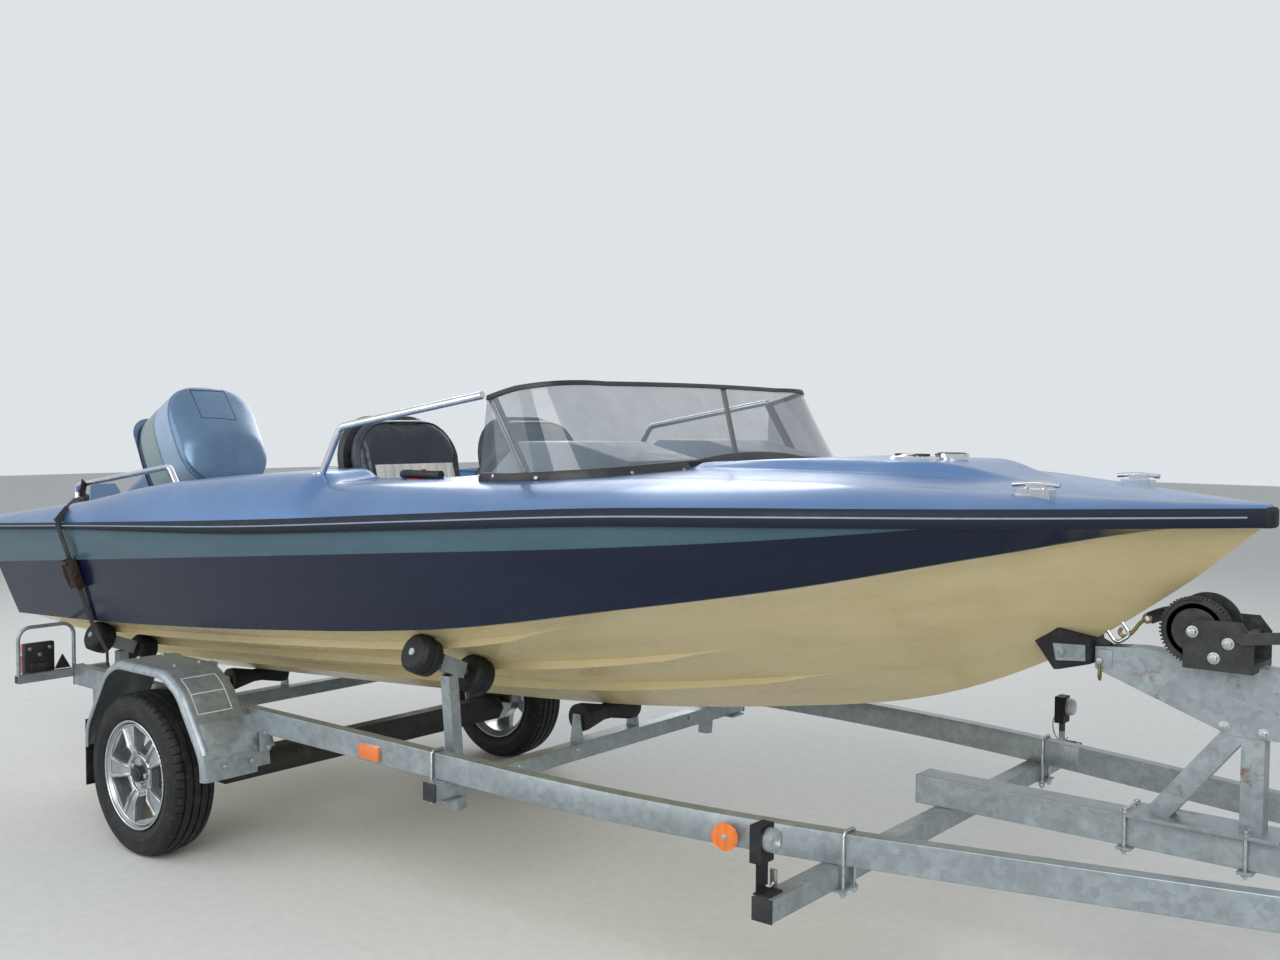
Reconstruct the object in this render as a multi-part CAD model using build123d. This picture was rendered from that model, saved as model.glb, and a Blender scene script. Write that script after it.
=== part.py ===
from build123d import *
from math import atan2, cos, radians, sin, sqrt, tan
import os

# A small outboard speedboat standing on its single-axle roller trailer, in millimetres.
# +X points to the bow, +Y to port and +Z up. While it is drawn, X is 0 at the trailer's
# wheels and Z is 0 at the ground. At the end the whole is moved along X, so that the
# origin is below the middle of it.

# Wheels and axle
TYRE_RADIUS = 273.5
TYRE_WIDTH = 157.0
RIM_FLANGE_RADIUS = 182.6
RIM_WIDTH = 127.0
RIM_WALL = 5.0
RIM_OUTER_Y = 909.0
RIM_DISH = 30.0
SPOKES = 5
SPOKE_WINDOW_ANGLE = 66.5
SPINDLE_RADIUS = 15.0
RUNNING_FIT = 0.05
HUB_RADIUS = 62.0
AXLE_X = 120.0
AXLE_Z = 262.0
AXLE_CORNER_RADIUS = 54.0
AXLE_END_Y = 655.0

# Chassis
RAIL_WIDTH = 40.0
RAIL_HEIGHT = 75.0
RAIL_Y = 695.0
RAIL_WALL = 3.0
RAIL_REAR_X = -760.0
RAIL_BEND_X = 1500.0
RAIL_SLOPE = 0.25
RAIL_Y_AT_FRONT_CROSS = 591.5
RAIL_FRONT_X = 4600.0
CROSS_SIZE = 50.0
CROSS_WALL = 3.0
CROSS_TOP_Z = 448.0
FRONT_CROSS_X = 2498.0
FRONT_CROSS_HALF = 893.0
MIDDLE_CROSS_X = 1293.5
MIDDLE_CROSS_HALF = 755.0
REAR_CROSS_X = -620.0
REAR_CROSS_TOP_Z = 325.0
BEAM_WIDTH = 80.0
BEAM_HEIGHT = 77.0
BEAM_REAR_X = 2420.0
BEAM_FRONT_X = 4930.0
COUPLING_NOSE_X = 5210.0
BALL_RADIUS = 25.0

# Mudguards
GUARD_INNER_Y = 732.0
GUARD_OUTER_Y = 930.0
GUARD_SHEET = 2.5
GUARD_LIP = 24.0
GUARD_TOP_Z = 655.0
GUARD_LOW_Z = 330.0

# Rollers under the hull: the distances out of a pair's outer and inner roller
ROLLER_RADIUS = 56.0
ROLLER_HALF = 38.0
ROLLER_BORE = 10.0
POST_SIZE = 36.0
POST_WALL = 3.0
POST_HEAD = 46.0
POST_HEAD_HALF = 48.0
MIDDLE_POST_LOW_Z = 335.0
MIDDLE_ROLLERS = (722.0, 520.0)
REAR_ROLLERS = (662.0, 492.0)
KEEL_ROLLER_HALF = 130.0
KEEL_ROLLER_END = 44.0
KEEL_ROLLER_WAIST = 26.0

# Winch
DRUM_RADIUS = 62.0

# Tie-down straps
STRAP_WIDTH = 30.0
STRAP_SHEET = 3.0

# Hull and deck
TRANSOM_RAKE = 0.32
TRANSOM_FOOT_X = -1080.0
TRANSOM_FOOT_Z = 394.0
TRANSOM_TOP_Z = 930.0
TRANSOM_WALL = 50.0
LAND_HEIGHT = 44.0
CHINE_FLAT = 52.0
CHINE_DROP = 10.0
RUB_DEPTH = 20.0
RUB_HEIGHT = 46.0

# Hull stations, one row each: distance along the boat, keel height, chine out and up,
# gunwale out and up, deck shoulder out and up, deck height on the centreline
STATIONS = (
    (-1350.0, 378.0, 715.0, 675.0, 800.0, 1037.0, 655.0, 1070.0, 1088.0),
    (-400.0, 437.0, 758.0, 729.0, 848.0, 1095.0, 690.0, 1180.0, 1205.0),
    (600.0, 499.0, 798.0, 812.0, 875.0, 1158.0, 690.0, 1262.0, 1290.0),
    (1400.0, 560.0, 820.0, 902.0, 880.0, 1217.0, 680.0, 1297.0, 1325.0),
    (2000.0, 642.0, 795.0, 1008.0, 870.0, 1259.0, 620.0, 1322.0, 1340.0),
    (2450.0, 735.0, 695.0, 1092.0, 785.0, 1276.0, 540.0, 1325.0, 1340.0),
    (2800.0, 888.0, 470.0, 1170.0, 520.0, 1277.0, 340.0, 1308.0, 1320.0),
    (3080.0, 1080.0, 165.0, 1228.0, 235.0, 1277.0, 150.0, 1293.0, 1298.0),
    (3270.0, 1246.0, 6.0, 1252.0, 28.0, 1277.0, 16.0, 1284.0, 1286.0),
)
LOFT_X = (
    -1350.0, -850.0, -400.0, 0.0, 400.0, 790.0, 850.0, 900.0, 1150.0, 1400.0, 1700.0, 1950.0,
    2150.0, 2320.0, 2470.0, 2600.0, 2710.0, 2800.0, 2890.0, 2980.0, 3080.0, 3180.0, 3270.0,
)

# Raised coaming beside the cockpit: it grows from aft and ends in a rounded step
COAMING_RISE = 33.0
COAMING_START_X = -700.0
COAMING_FULL_X = 0.0
COAMING_STEP_X = 790.0
COAMING_END_X = 880.0

# Rounded shoulder between gunwale and deck: shares of its reach inboard and of its rise
SHOULDER = ((0.20, 0.42), (0.48, 0.78), (0.76, 0.95), (1.0, 1.0))

# Cockpit
WELL_FRONT_X = -590.0
WELL_HALF = 425.0
WELL_FLOOR_Z = 800.0
TUB_REAR_X = -290.0
TUB_DASH_X = 1235.0
TUB_SHOULDER_X = 1150.0
TUB_FRONT_X = 1600.0
TUB_HALF = 580.0
TUB_FRONT_HALF = 440.0
TUB_WALL = 6.0
FLOOR_Z = 748.0
FLOOR_SLOPE = 0.06
BENCH_FRONT_X = 70.0
BENCH_TOP_Z = 985.0

# Seats
SEAT_Y = 312.0
SEAT_X = 640.0
SEAT_WIDTH = 490.0
SEAT_TOP_Z = 1488.0
SEAT_CUSHION_Z = 1075.0

# Windscreen
SCREEN_FRONT_X = 1965.0
SCREEN_AFT_X = 1440.0
SCREEN_HALF = 712.0
SCREEN_TOP_FRONT_X = 1670.0
SCREEN_TOP_HALF = 690.0
SCREEN_TOP_AFT_X = 1462.0
SCREEN_SHEET = 5.0
SCREEN_TOP_Z = 1582.0
SCREEN_BASE_Z = 1255.0
SCREEN_TRIM = 4.0
SCREEN_TRIM_HEIGHT = 13.0
SCREEN_FOOT_HEIGHT = 24.0
SCREEN_TOP_LINE = ((1300.0, 1498.0), (1455.0, 1530.0), (1560.0, 1557.0), (1690.0, 1579.0), (2100.0, 1579.0))

# Dash panel and steering wheel
DASH_LOW_Z = 1090.0
WHEEL_X = 1150.0
WHEEL_Y = -325.0
WHEEL_Z = 1232.0
WHEEL_TILT = 20.0
WHEEL_RADIUS = 160.0
WHEEL_GRIP = 11.0

# Outboard engine
PIVOT_X = -1214.0
PIVOT_Z = 1000.0
TILT_REST = 62.0
CLAMP_LEG_Z = 846.0
SWIVEL_X = -96.0

# Jockey wheel
JOCKEY_X = 4740.0
JOCKEY_Y = 86.0
JOCKEY_RADIUS = 100.0
JOCKEY_WIDTH = 50.0
JOCKEY_TRAIL = 55.0
JOCKEY_TUBE_RADIUS = 24.0
JOCKEY_TUBE_WALL = 3.0
JOCKEY_TUBE_LOW_Z = 400.0
JOCKEY_TUBE_TOP_Z = 800.0
JOCKEY_STEM_TOP_Z = 600.0

RUNNING_GAP = 0.3

PARTS = {}


def node(name, *shapes):
    """Keep the solids of one sub-part under its plain name."""
    solids = []
    for shape in shapes:
        items = shape if isinstance(shape, (list, tuple)) else [shape]
        for item in items:
            solids.extend(item.solids())
    PARTS[name] = Compound(solids) if len(solids) > 1 else solids[0]


def block(x, y, z):
    """A box from its two limits on each axis."""
    size = [abs(b - a) for a, b in (x, y, z)]
    middle = [(a + b) / 2 for a, b in (x, y, z)]
    return Pos(*middle) * Box(*size)


def line_plane(a, b, across=(0, 1, 0)):
    """A plane at point a whose normal looks at point b and whose x is across."""
    return Plane(origin=a, x_dir=across, z_dir=Vector(*b) - Vector(*a))


def span_of(a, b):
    return (Vector(*b) - Vector(*a)).length


def rod(a, b, radius):
    return extrude(Plane(origin=a, z_dir=Vector(*b) - Vector(*a)) * Circle(radius), span_of(a, b))


def bar(a, b, width, depth, across=(0, 1, 0)):
    return extrude(line_plane(a, b, across) * Rectangle(width, depth), span_of(a, b))


def square_tube(a, b, width, depth, wall, across=(0, 1, 0)):
    inner = extrude(
        line_plane(a, b, across) * Rectangle(width - 2 * wall, depth - 2 * wall), span_of(a, b)
    )
    return bar(a, b, width, depth, across) - inner


def side_plate(points, y, thickness):
    """A flat plate from its outline seen from the side, centred on y."""
    outline = make_face(Polyline(*[(px, y - thickness / 2, pz) for px, pz in points], close=True))
    return extrude(outline, thickness, dir=(0, 1, 0))


def cross_plate(points, x, thickness):
    """A flat plate from its outline seen from ahead, from x forward."""
    outline = make_face(Polyline(*[(x, py, pz) for py, pz in points], close=True))
    return extrude(outline, thickness, dir=(1, 0, 0))


def plan_plate(points, z, thickness):
    """A flat plate from its outline seen from above, from z up."""
    outline = make_face(Polyline(*[(px, py, z) for px, py in points], close=True))
    return extrude(outline, thickness, dir=(0, 0, 1))


def pipe(points, bend, radius):
    """A round tube, drawn solid, along straight runs joined by arcs."""
    path = FilletPolyline(*points, radius=bend)
    return sweep(Plane(origin=path @ 0, z_dir=path % 0) * Circle(radius), path=path)


def turned(points, centre, axis=(0, 1, 0)):
    """A turned solid from its outline of (along the axis, radius)."""
    x_dir = (1, 0, 0) if abs(axis[0]) < 0.9 else (0, 1, 0)
    plane = Plane(origin=centre, x_dir=x_dir, z_dir=axis)
    frame_points = [plane.from_local_coords((r, 0, a)) for a, r in points]
    outline = make_face(Polyline(*frame_points, close=True))
    return revolve(outline, axis=Axis(centre, axis))


def opposite(shape):
    return mirror(shape, about=Plane.XZ)


def biggest(shape):
    """The largest solid of a cut shape, without the slivers beside it."""
    return max(shape.solids(), key=lambda s: s.volume)


def both(shape):
    return [shape, opposite(shape)]


def station_slope(index, column):
    """How fast a hull measure changes at one station, from its two neighbours."""
    low = STATIONS[max(index - 1, 0)]
    high = STATIONS[min(index + 1, len(STATIONS) - 1)]
    return (high[column] - low[column]) / (high[0] - low[0])


def station_value(x, column):
    """A hull measure at any x, on a smooth curve through the stations."""
    for index, (low, high) in enumerate(zip(STATIONS, STATIONS[1:])):
        if x <= high[0]:
            run = high[0] - low[0]
            t = (x - low[0]) / run
            start = station_slope(index, column) * run
            end = station_slope(index + 1, column) * run
            rest = 1.0 - t
            return (low[column] * rest * rest * (1 + 2 * t) + start * t * rest * rest
                    + high[column] * t * t * (3 - 2 * t) - end * t * t * rest)
    return STATIONS[-1][column]


def loft_value(x, column):
    """A hull measure on the straight run between the two lofted sections beside x."""
    for low, high in zip(LOFT_X, LOFT_X[1:]):
        if x <= high:
            share = (x - low) / (high - low)
            return station_value(low, column) * (1 - share) + station_value(high, column) * share
    return station_value(x, column)


def smooth_step(x, low, high):
    share = min(1.0, max(0.0, (x - low) / (high - low)))
    return share * share * (3.0 - 2.0 * share)


def coaming_rise(x):
    """How far the side deck stands up beside the cockpit."""
    grown = smooth_step(x, COAMING_START_X, COAMING_FULL_X)
    return COAMING_RISE * grown * (1.0 - smooth_step(x, COAMING_STEP_X, COAMING_END_X))


def bottom_slope(x):
    chine_y = loft_value(x, 2) - CHINE_FLAT
    return (loft_value(x, 3) - CHINE_DROP - loft_value(x, 1)) / chine_y


def bottom_z(x, y):
    """Height of the hull's bottom at a distance y from the keel."""
    return loft_value(x, 1) + bottom_slope(x) * abs(y)


def transom_x(z):
    return TRANSOM_FOOT_X - TRANSOM_RAKE * (z - TRANSOM_FOOT_Z)


def hull_section(x):
    """Port half of one section: V bottom, chine flat, side, gunwale land and crowned deck."""
    keel_z, chine_y, chine_z, rail_y, rail_z, deck_y, deck_z, middle_z = [
        station_value(x, column) for column in range(1, 9)]
    share = min(1.0, chine_y / 400.0)
    land = LAND_HEIGHT * min(1.0, rail_y / 240.0 + 0.25)
    deck_z += coaming_rise(x)
    middle_z += coaming_rise(x)
    reach, rise = rail_y - deck_y, deck_z - rail_z
    points = [
        (x, 0, keel_z),
        (x, chine_y - CHINE_FLAT * share, chine_z - CHINE_DROP * share),
        (x, chine_y, chine_z),
        (x, rail_y, rail_z - land),
        (x, rail_y, rail_z),
    ]
    for along, up in SHOULDER:
        points.append((x, rail_y - reach * along, rail_z + rise * up))
    points.append((x, deck_y * 0.5, deck_z + (middle_z - deck_z) * 0.75))
    points.append((x, 0, middle_z))
    return make_face(Polyline(*points, close=True))


def behind_transom():
    """All the space behind the raked transom."""
    low_z, high_z, far_x = 300.0, 1300.0, -1500.0
    return side_plate(
        ((transom_x(low_z), low_z), (transom_x(high_z), high_z), (far_x, high_z), (far_x, low_z)),
        0.0, 2200.0,
    )


def boat_body():
    """The whole outside of hull and deck, cut at the raked transom."""
    half = loft([hull_section(x) for x in LOFT_X], ruled=True)
    half = half - behind_transom()
    return half + opposite(half)


def strake(rows):
    """A lifting strake: flat below, square outside, fading out at its front tip."""
    sections = []
    for x, y, width in rows:
        low = bottom_z(x, y - width)
        top = bottom_z(x, y) + 14.0
        points = ((x, y - width, low), (x, y, low), (x, y, top), (x, y - width, low + 14.0))
        sections.append(make_face(Polyline(*points, close=True)))
    return loft(sections, ruled=True)


def below_sheer():
    """All that lies below the joint between hull and deck, half-way up the land."""
    drop = LAND_HEIGHT / 2
    points = [(x, station_value(x, 5) - drop) for x in LOFT_X[1:-1]]
    slope = (points[1][1] - points[0][1]) / (points[1][0] - points[0][0])
    points.insert(0, (-1500.0, points[0][1] + slope * (-1500.0 - points[0][0])))
    points.append((3400.0, points[-1][1]))
    points += [(3400.0, 200.0), (-1500.0, 200.0)]
    return side_plate(points, 0.0, 2000.0)


def tub_outline(grow):
    """Plan of the cockpit, larger all round by grow."""
    rear, front = TUB_REAR_X - grow, TUB_FRONT_X + grow
    half, narrow = TUB_HALF + grow, TUB_FRONT_HALF + grow
    return (
        (rear, -half), (TUB_SHOULDER_X, -half), (front, -narrow),
        (front, narrow), (TUB_SHOULDER_X, half), (rear, half),
    )


def tub_block(grow, top_z):
    """The cockpit's space, with its floor rising to the bow like the keel."""
    tall = plan_plate(tub_outline(grow), 500.0, top_z - 500.0)
    x0, x1 = TUB_REAR_X - 100.0, TUB_FRONT_X + 100.0
    floor = [(x, FLOOR_Z - grow + FLOOR_SLOPE * x) for x in (x0, x1)]
    below = side_plate((floor[0], floor[1], (x1, 400.0), (x0, 400.0)), 0.0, 1600.0)
    return tall - below


def well_block():
    """The space for the tilted engine: a pocket in front of the transom and a notch in it."""
    pocket = side_plate(
        (
            (transom_x(WELL_FLOOR_Z) + TRANSOM_WALL, WELL_FLOOR_Z),
            (WELL_FRONT_X, WELL_FLOOR_Z + 30.0),
            (WELL_FRONT_X, 1400.0),
            (transom_x(1400.0) + TRANSOM_WALL, 1400.0),
        ),
        0.0, 2 * WELL_HALF,
    )
    notch = block((-1500.0, WELL_FRONT_X - 60.0), (-WELL_HALF, WELL_HALF), (TRANSOM_TOP_Z, 1400.0))
    return pocket + notch


def foredeck_hump():
    """The raised middle of the foredeck, flat on top and sloping down to the bow."""
    top = side_plate(
        ((1860.0, 1290.0), (1860.0, 1352.0), (2100.0, 1366.0), (2520.0, 1368.0),
         (2640.0, 1352.0), (2800.0, 1318.0), (2800.0, 1290.0)),
        0.0, 640.0,
    )
    sides = plan_plate(
        ((1860.0, -320.0), (2450.0, -270.0), (2790.0, -120.0),
         (2790.0, 120.0), (2450.0, 270.0), (1860.0, 320.0)), 1280.0, 120.0,
    )
    return top & sides


def build_boat(whole):
    low = below_sheer()
    cockpit = tub_block(TUB_WALL, 1500.0)
    well = well_block()
    hull = (whole & low) - cockpit - well
    for rows in (
        ((-1050.0, 620.0, 34.0), (0.0, 640.0, 34.0), (1200.0, 672.0, 34.0), (1800.0, 716.0, 8.0)),
        ((-1050.0, 455.0, 34.0), (0.0, 465.0, 34.0), (1500.0, 478.0, 34.0), (2140.0, 450.0, 8.0)),
        ((-1050.0, 250.0, 34.0), (0.0, 262.0, 34.0), (1600.0, 262.0, 34.0), (2330.0, 222.0, 8.0)),
    ):
        piece = strake(rows)
        hull = hull + piece + opposite(piece)
    node("hull", biggest(hull))

    opening = plan_plate(
        ((TUB_REAR_X, -TUB_HALF), (TUB_DASH_X, -TUB_HALF), (TUB_DASH_X, TUB_HALF),
         (TUB_REAR_X, TUB_HALF)), 900.0, 600.0,
    )
    opening = fillet(opening.edges().filter_by(Axis.Z), 60.0)
    under_dash = tub_block(TUB_WALL, 1248.0)
    deck = (whole - low) - well
    deck = deck + (foredeck_hump() - low)
    deck = deck - opening - under_dash
    node("deck", biggest(deck))

    liner = tub_block(TUB_WALL, 1080.0) & low
    liner = liner - tub_block(0.0, 1300.0)
    bench = block((TUB_REAR_X - 0.5, BENCH_FRONT_X), (-TUB_HALF - 0.5, TUB_HALF + 0.5),
                  (700.0, BENCH_TOP_Z))
    bench = bench & tub_block(0.5, 1300.0)
    node("cockpit_liner", liner + bench)


def rub_rail():
    """The black rub rail round both gunwales, over the joint between hull and deck."""
    sections = []
    for x in LOFT_X:
        rail_y, rail_z = station_value(x, 4), station_value(x, 5)
        low, high = rail_z - RUB_HEIGHT, rail_z + 2.0
        sections.append(make_face(Polyline(
            (x, 0, low + 4.0), (x, max(rail_y - 60.0, 4.0), low + 4.0), (x, rail_y + RUB_DEPTH * 0.6, low),
            (x, rail_y + RUB_DEPTH, low + 12.0), (x, rail_y + RUB_DEPTH, high - 10.0),
            (x, rail_y + RUB_DEPTH * 0.6, high), (x, max(rail_y - 60.0, 4.0), high - 4.0),
            (x, 0, high - 4.0), close=True)))
    half = loft(sections, ruled=True)
    return half - behind_transom()


def build_wheel(side, name):
    centre = (0.0, 0.0, TYRE_RADIUS)
    outer = RIM_OUTER_Y
    inner = outer - RIM_WIDTH - 12.0
    mid = (outer + inner) / 2
    tyre_low, tyre_high = mid - TYRE_WIDTH / 2, mid + TYRE_WIDTH / 2
    bead = RIM_FLANGE_RADIUS - 9.0
    tyre = turned(
        ((inner + 12.0, bead), (inner + 9.3, RIM_FLANGE_RADIUS + 0.4), (tyre_low, 215.0),
         (tyre_low + 6.0, 250.0), (tyre_low + 24.0, 270.0),
         (mid, TYRE_RADIUS), (tyre_high - 24.0, 270.0), (tyre_high - 6.0, 250.0),
         (tyre_high, 215.0), (outer - 9.3, RIM_FLANGE_RADIUS + 0.4), (outer - 12.0, bead)), centre)
    barrel = turned(
        ((inner, RIM_FLANGE_RADIUS), (inner, RIM_FLANGE_RADIUS - RIM_WALL),
         (inner + 24.0, 160.0), (outer - 30.0, 160.0), (outer - 6.0, RIM_FLANGE_RADIUS - RIM_WALL),
         (outer, RIM_FLANGE_RADIUS - RIM_WALL), (outer, RIM_FLANGE_RADIUS),
         (outer - 9.0, RIM_FLANGE_RADIUS), (outer - 12.0, bead), (outer - 34.0, bead - 6.0),
         (inner + 34.0, bead - 6.0), (inner + 12.0, bead), (inner + 9.0, RIM_FLANGE_RADIUS)), centre)
    face = turned(
        ((outer - RIM_DISH - 26.0, 0.0), (outer - RIM_DISH, 0.0), (outer - RIM_DISH, 50.0),
         (outer - 16.0, 100.0), (outer - 14.0, 168.0), (outer - 30.0, 168.0),
         (outer - 40.0, 100.0), (outer - RIM_DISH - 26.0, 60.0)), centre)
    window = extrude(
        Plane(origin=(0, outer + 20.0, TYRE_RADIUS), x_dir=(1, 0, 0), z_dir=(0, -1, 0))
        * (Pos(0, 112.0) * Trapezoid(122.0, 76.0, SPOKE_WINDOW_ANGLE, rotation=180.0)), 110.0)
    for index in range(SPOKES):
        face = face - window.rotate(Axis(centre, (0, 1, 0)), 90.0 + index * 360.0 / SPOKES)
    hub = turned(
        ((mid - 66.0, SPINDLE_RADIUS + RUNNING_FIT), (mid - 66.0, 105.0), (mid - 20.0, 105.0),
         (mid - 14.0, HUB_RADIUS), (outer - RIM_DISH - 20.0, HUB_RADIUS),
         (outer - RIM_DISH - 20.0, 0.0), (outer - RIM_DISH - 27.0, 0.0),
         (outer - RIM_DISH - 27.0, SPINDLE_RADIUS + RUNNING_FIT)), centre)
    rim = barrel + face + hub
    if side < 0:
        tyre, rim = opposite(tyre), opposite(rim)
    node(name + "_tyre", tyre)
    node(name + "_rim", rim)


def build_axle():
    tube = extrude(
        Plane(origin=(AXLE_X, -AXLE_END_Y, AXLE_Z), x_dir=(1, 0, 0), z_dir=(0, 1, 0))
        * RegularPolygon(AXLE_CORNER_RADIUS, 6), 2 * AXLE_END_Y)
    arms = []
    mid = RIM_OUTER_Y - (RIM_WIDTH + 12.0) / 2
    for side in (1, -1):
        arm = bar((AXLE_X, side * 668.0, AXLE_Z), (0, side * 668.0, TYRE_RADIUS), 26.0, 62.0)
        knuckle = rod((0, side * 655.0, TYRE_RADIUS), (0, side * (mid - 68.0), TYRE_RADIUS), 34.0)
        spindle = rod((0, side * 660.0, TYRE_RADIUS),
                      (0, side * (RIM_OUTER_Y - RIM_DISH - 29.0), TYRE_RADIUS), SPINDLE_RADIUS)
        arms.append(arm + knuckle + spindle)
    brackets = []
    for side in (1, -1):
        for x in (AXLE_X - 44.0, AXLE_X + 44.0):
            y = side * (RAIL_Y - RAIL_WIDTH / 2 - 4.0)
            brackets.append(bar((x, y, AXLE_Z + 20.0), (x, y, CROSS_TOP_Z + 60.0), 8.0, 60.0))
    whole = tube
    for piece in arms + brackets:
        whole = whole + piece
    node("axle", whole)


def rail_corner_x():
    """Where a main rail's straight part would meet its drawn-in part."""
    return FRONT_CROSS_X - (RAIL_Y - RAIL_Y_AT_FRONT_CROSS) / RAIL_SLOPE


def rail_centre(x):
    """Distance of a main rail from the centreline."""
    if x <= rail_corner_x():
        return RAIL_Y
    return RAIL_Y - RAIL_SLOPE * (x - rail_corner_x())


def build_rails():
    """Two main rails: straight beside the hull, then drawn in to the coupling."""
    corner_x = rail_corner_x()
    angle = atan2(RAIL_SLOPE, 1.0)
    bend = (corner_x - RAIL_BEND_X) / tan(angle / 2)
    z = CROSS_TOP_Z + RAIL_HEIGHT / 2
    path = FilletPolyline((RAIL_REAR_X, RAIL_Y, z), (corner_x, RAIL_Y, z),
                          (RAIL_FRONT_X, rail_centre(RAIL_FRONT_X), z), radius=bend)
    start = Plane(origin=(RAIL_REAR_X, RAIL_Y, z), x_dir=(0, 1, 0), z_dir=(1, 0, 0))
    outer = sweep(start * Rectangle(RAIL_WIDTH, RAIL_HEIGHT), path=path)
    inner = sweep(start * Rectangle(RAIL_WIDTH - 2 * RAIL_WALL, RAIL_HEIGHT - 2 * RAIL_WALL),
                  path=path)
    rail = outer - inner
    beam_side = block((4000.0, 5200.0), (-BEAM_WIDTH / 2, BEAM_WIDTH / 2), (300.0, 700.0))
    rail = rail - beam_side
    node("main_rails", both(rail))


def build_cross_members():
    half = CROSS_SIZE / 2
    members = []
    for x, reach, top in (
        (FRONT_CROSS_X, FRONT_CROSS_HALF, CROSS_TOP_Z),
        (MIDDLE_CROSS_X, MIDDLE_CROSS_HALF, CROSS_TOP_Z),
        (REAR_CROSS_X, RAIL_Y + RAIL_WIDTH / 2, REAR_CROSS_TOP_Z),
    ):
        members.append(square_tube((x, -reach, top - half), (x, reach, top - half),
                                   CROSS_SIZE, CROSS_SIZE, CROSS_WALL, across=(1, 0, 0)))
    for side in (1, -1):
        hanger = block((REAR_CROSS_X - 30.0, REAR_CROSS_X + 30.0),
                       (side * RAIL_Y - 5.0, side * RAIL_Y + 5.0), (REAR_CROSS_TOP_Z, CROSS_TOP_Z))
        members[-1] = members[-1] + hanger
    node("cross_members", members)


def build_beam():
    z = CROSS_TOP_Z + BEAM_HEIGHT / 2
    node("centre_beam", square_tube((BEAM_REAR_X, 0, z), (BEAM_FRONT_X, 0, z),
                                    BEAM_WIDTH, BEAM_HEIGHT, 4.0))


def build_coupling():
    """The cast coupling head that closes over a 50 mm tow ball."""
    z = CROSS_TOP_Z + BEAM_HEIGHT / 2
    ball_x = COUPLING_NOSE_X - 42.0
    ball_z = z - 20.0
    socket = block((BEAM_FRONT_X - 60.0, BEAM_FRONT_X + 120.0), (-48.0, 48.0), (z - 43.0, z + 43.0))
    socket = socket - block((BEAM_FRONT_X - 61.0, BEAM_FRONT_X),
                            (-BEAM_WIDTH / 2, BEAM_WIDTH / 2),
                            (CROSS_TOP_Z, CROSS_TOP_Z + BEAM_HEIGHT))
    neck = plan_plate(((BEAM_FRONT_X + 60.0, -42.0), (COUPLING_NOSE_X - 50.0, -36.0),
                       (COUPLING_NOSE_X - 50.0, 36.0), (BEAM_FRONT_X + 60.0, 42.0)), z - 20.0, 58.0)
    head = Pos(ball_x, 0, ball_z + 18.0) * Cylinder(42.0, 76.0)
    head = fillet(head.edges().sort_by(Axis.Z)[-1], 20.0)
    body = socket + neck + head
    hollow = Pos(ball_x, 0, ball_z) * Sphere(BALL_RADIUS)
    mouth = Pos(ball_x, 0, ball_z - 25.0) * Cylinder(BALL_RADIUS, 50.0)
    body = body - hollow - mouth
    node("coupling_head", body)
    handle = pipe(((ball_x - 66.0, 0, z + 38.0), (ball_x - 40.0, 0, z + 92.0),
                   (ball_x - 190.0, 0, z + 112.0)), 18.0, 9.0)
    grip = block((ball_x - 240.0, ball_x - 150.0), (-20.0, 20.0), (z + 98.0, z + 118.0))
    node("coupling_handle", (handle + grip) - body)


def guard_face(top_drop, low_z):
    """Outline of a mudguard from the side, each edge moved in by top_drop."""
    d = top_drop
    points = (
        (-288.0 + d, low_z), (-288.0 + d, 400.0), (-150.0 + 0.6 * d, GUARD_TOP_Z - 40.0 - 0.7 * d),
        (-70.0, GUARD_TOP_Z - d), (215.0, GUARD_TOP_Z - d), (310.0 - 0.5 * d, GUARD_TOP_Z - 52.0 - d),
        (452.0 - d, 400.0 - 0.4 * d), (452.0 - d, low_z),
    )
    return points


def build_mudguards():
    inner, outer = GUARD_INNER_Y, GUARD_OUTER_Y
    middle = (inner + outer) / 2
    width = outer - inner
    solid = side_plate(guard_face(0.0, GUARD_LOW_Z), middle, width)
    solid = fillet(solid.edges().filter_by(Axis.Y).filter_by(lambda e: e.center().Z > 390.0), 60.0)
    hollow = side_plate(guard_face(GUARD_SHEET, GUARD_LOW_Z - 60.0), middle, width - 2 * GUARD_SHEET)
    hollow = fillet(hollow.edges().filter_by(Axis.Y).filter_by(lambda e: e.center().Z > 390.0), 58.0)
    cut = side_plate(guard_face(GUARD_LIP, GUARD_LOW_Z - 60.0), middle, width + 20.0)
    cut = fillet(cut.edges().filter_by(Axis.Y).filter_by(lambda e: e.center().Z > 380.0), 45.0)
    guard = solid - hollow - cut
    stay = None
    for x in (-60.0, 160.0):
        leg = block((x, x + 40.0), (RAIL_Y + RAIL_WIDTH / 2, RAIL_Y + RAIL_WIDTH / 2 + 6.0),
                    (CROSS_TOP_Z + 10.0, GUARD_TOP_Z - GUARD_SHEET))
        arm = block((x, x + 40.0), (RAIL_Y + RAIL_WIDTH / 2, outer - 40.0),
                    (GUARD_TOP_Z - GUARD_SHEET - 6.0, GUARD_TOP_Z - GUARD_SHEET))
        stay = leg + arm if stay is None else stay + leg + arm
    flap = block((-295.0, -288.0), (inner + 12.0, outer - 12.0), (190.0, 420.0))
    node("mudguards", both(guard + stay))
    node("mud_flaps", both(flap))


def roller_profile():
    r = ROLLER_RADIUS
    h = ROLLER_HALF
    return ((-h, ROLLER_BORE), (-h, r - 12.0), (-h + 9.0, r - 2.0), (-6.0, r), (-4.0, r - 4.0),
            (4.0, r - 4.0), (6.0, r), (h - 9.0, r - 2.0), (h, r - 12.0), (h, ROLLER_BORE))


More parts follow.
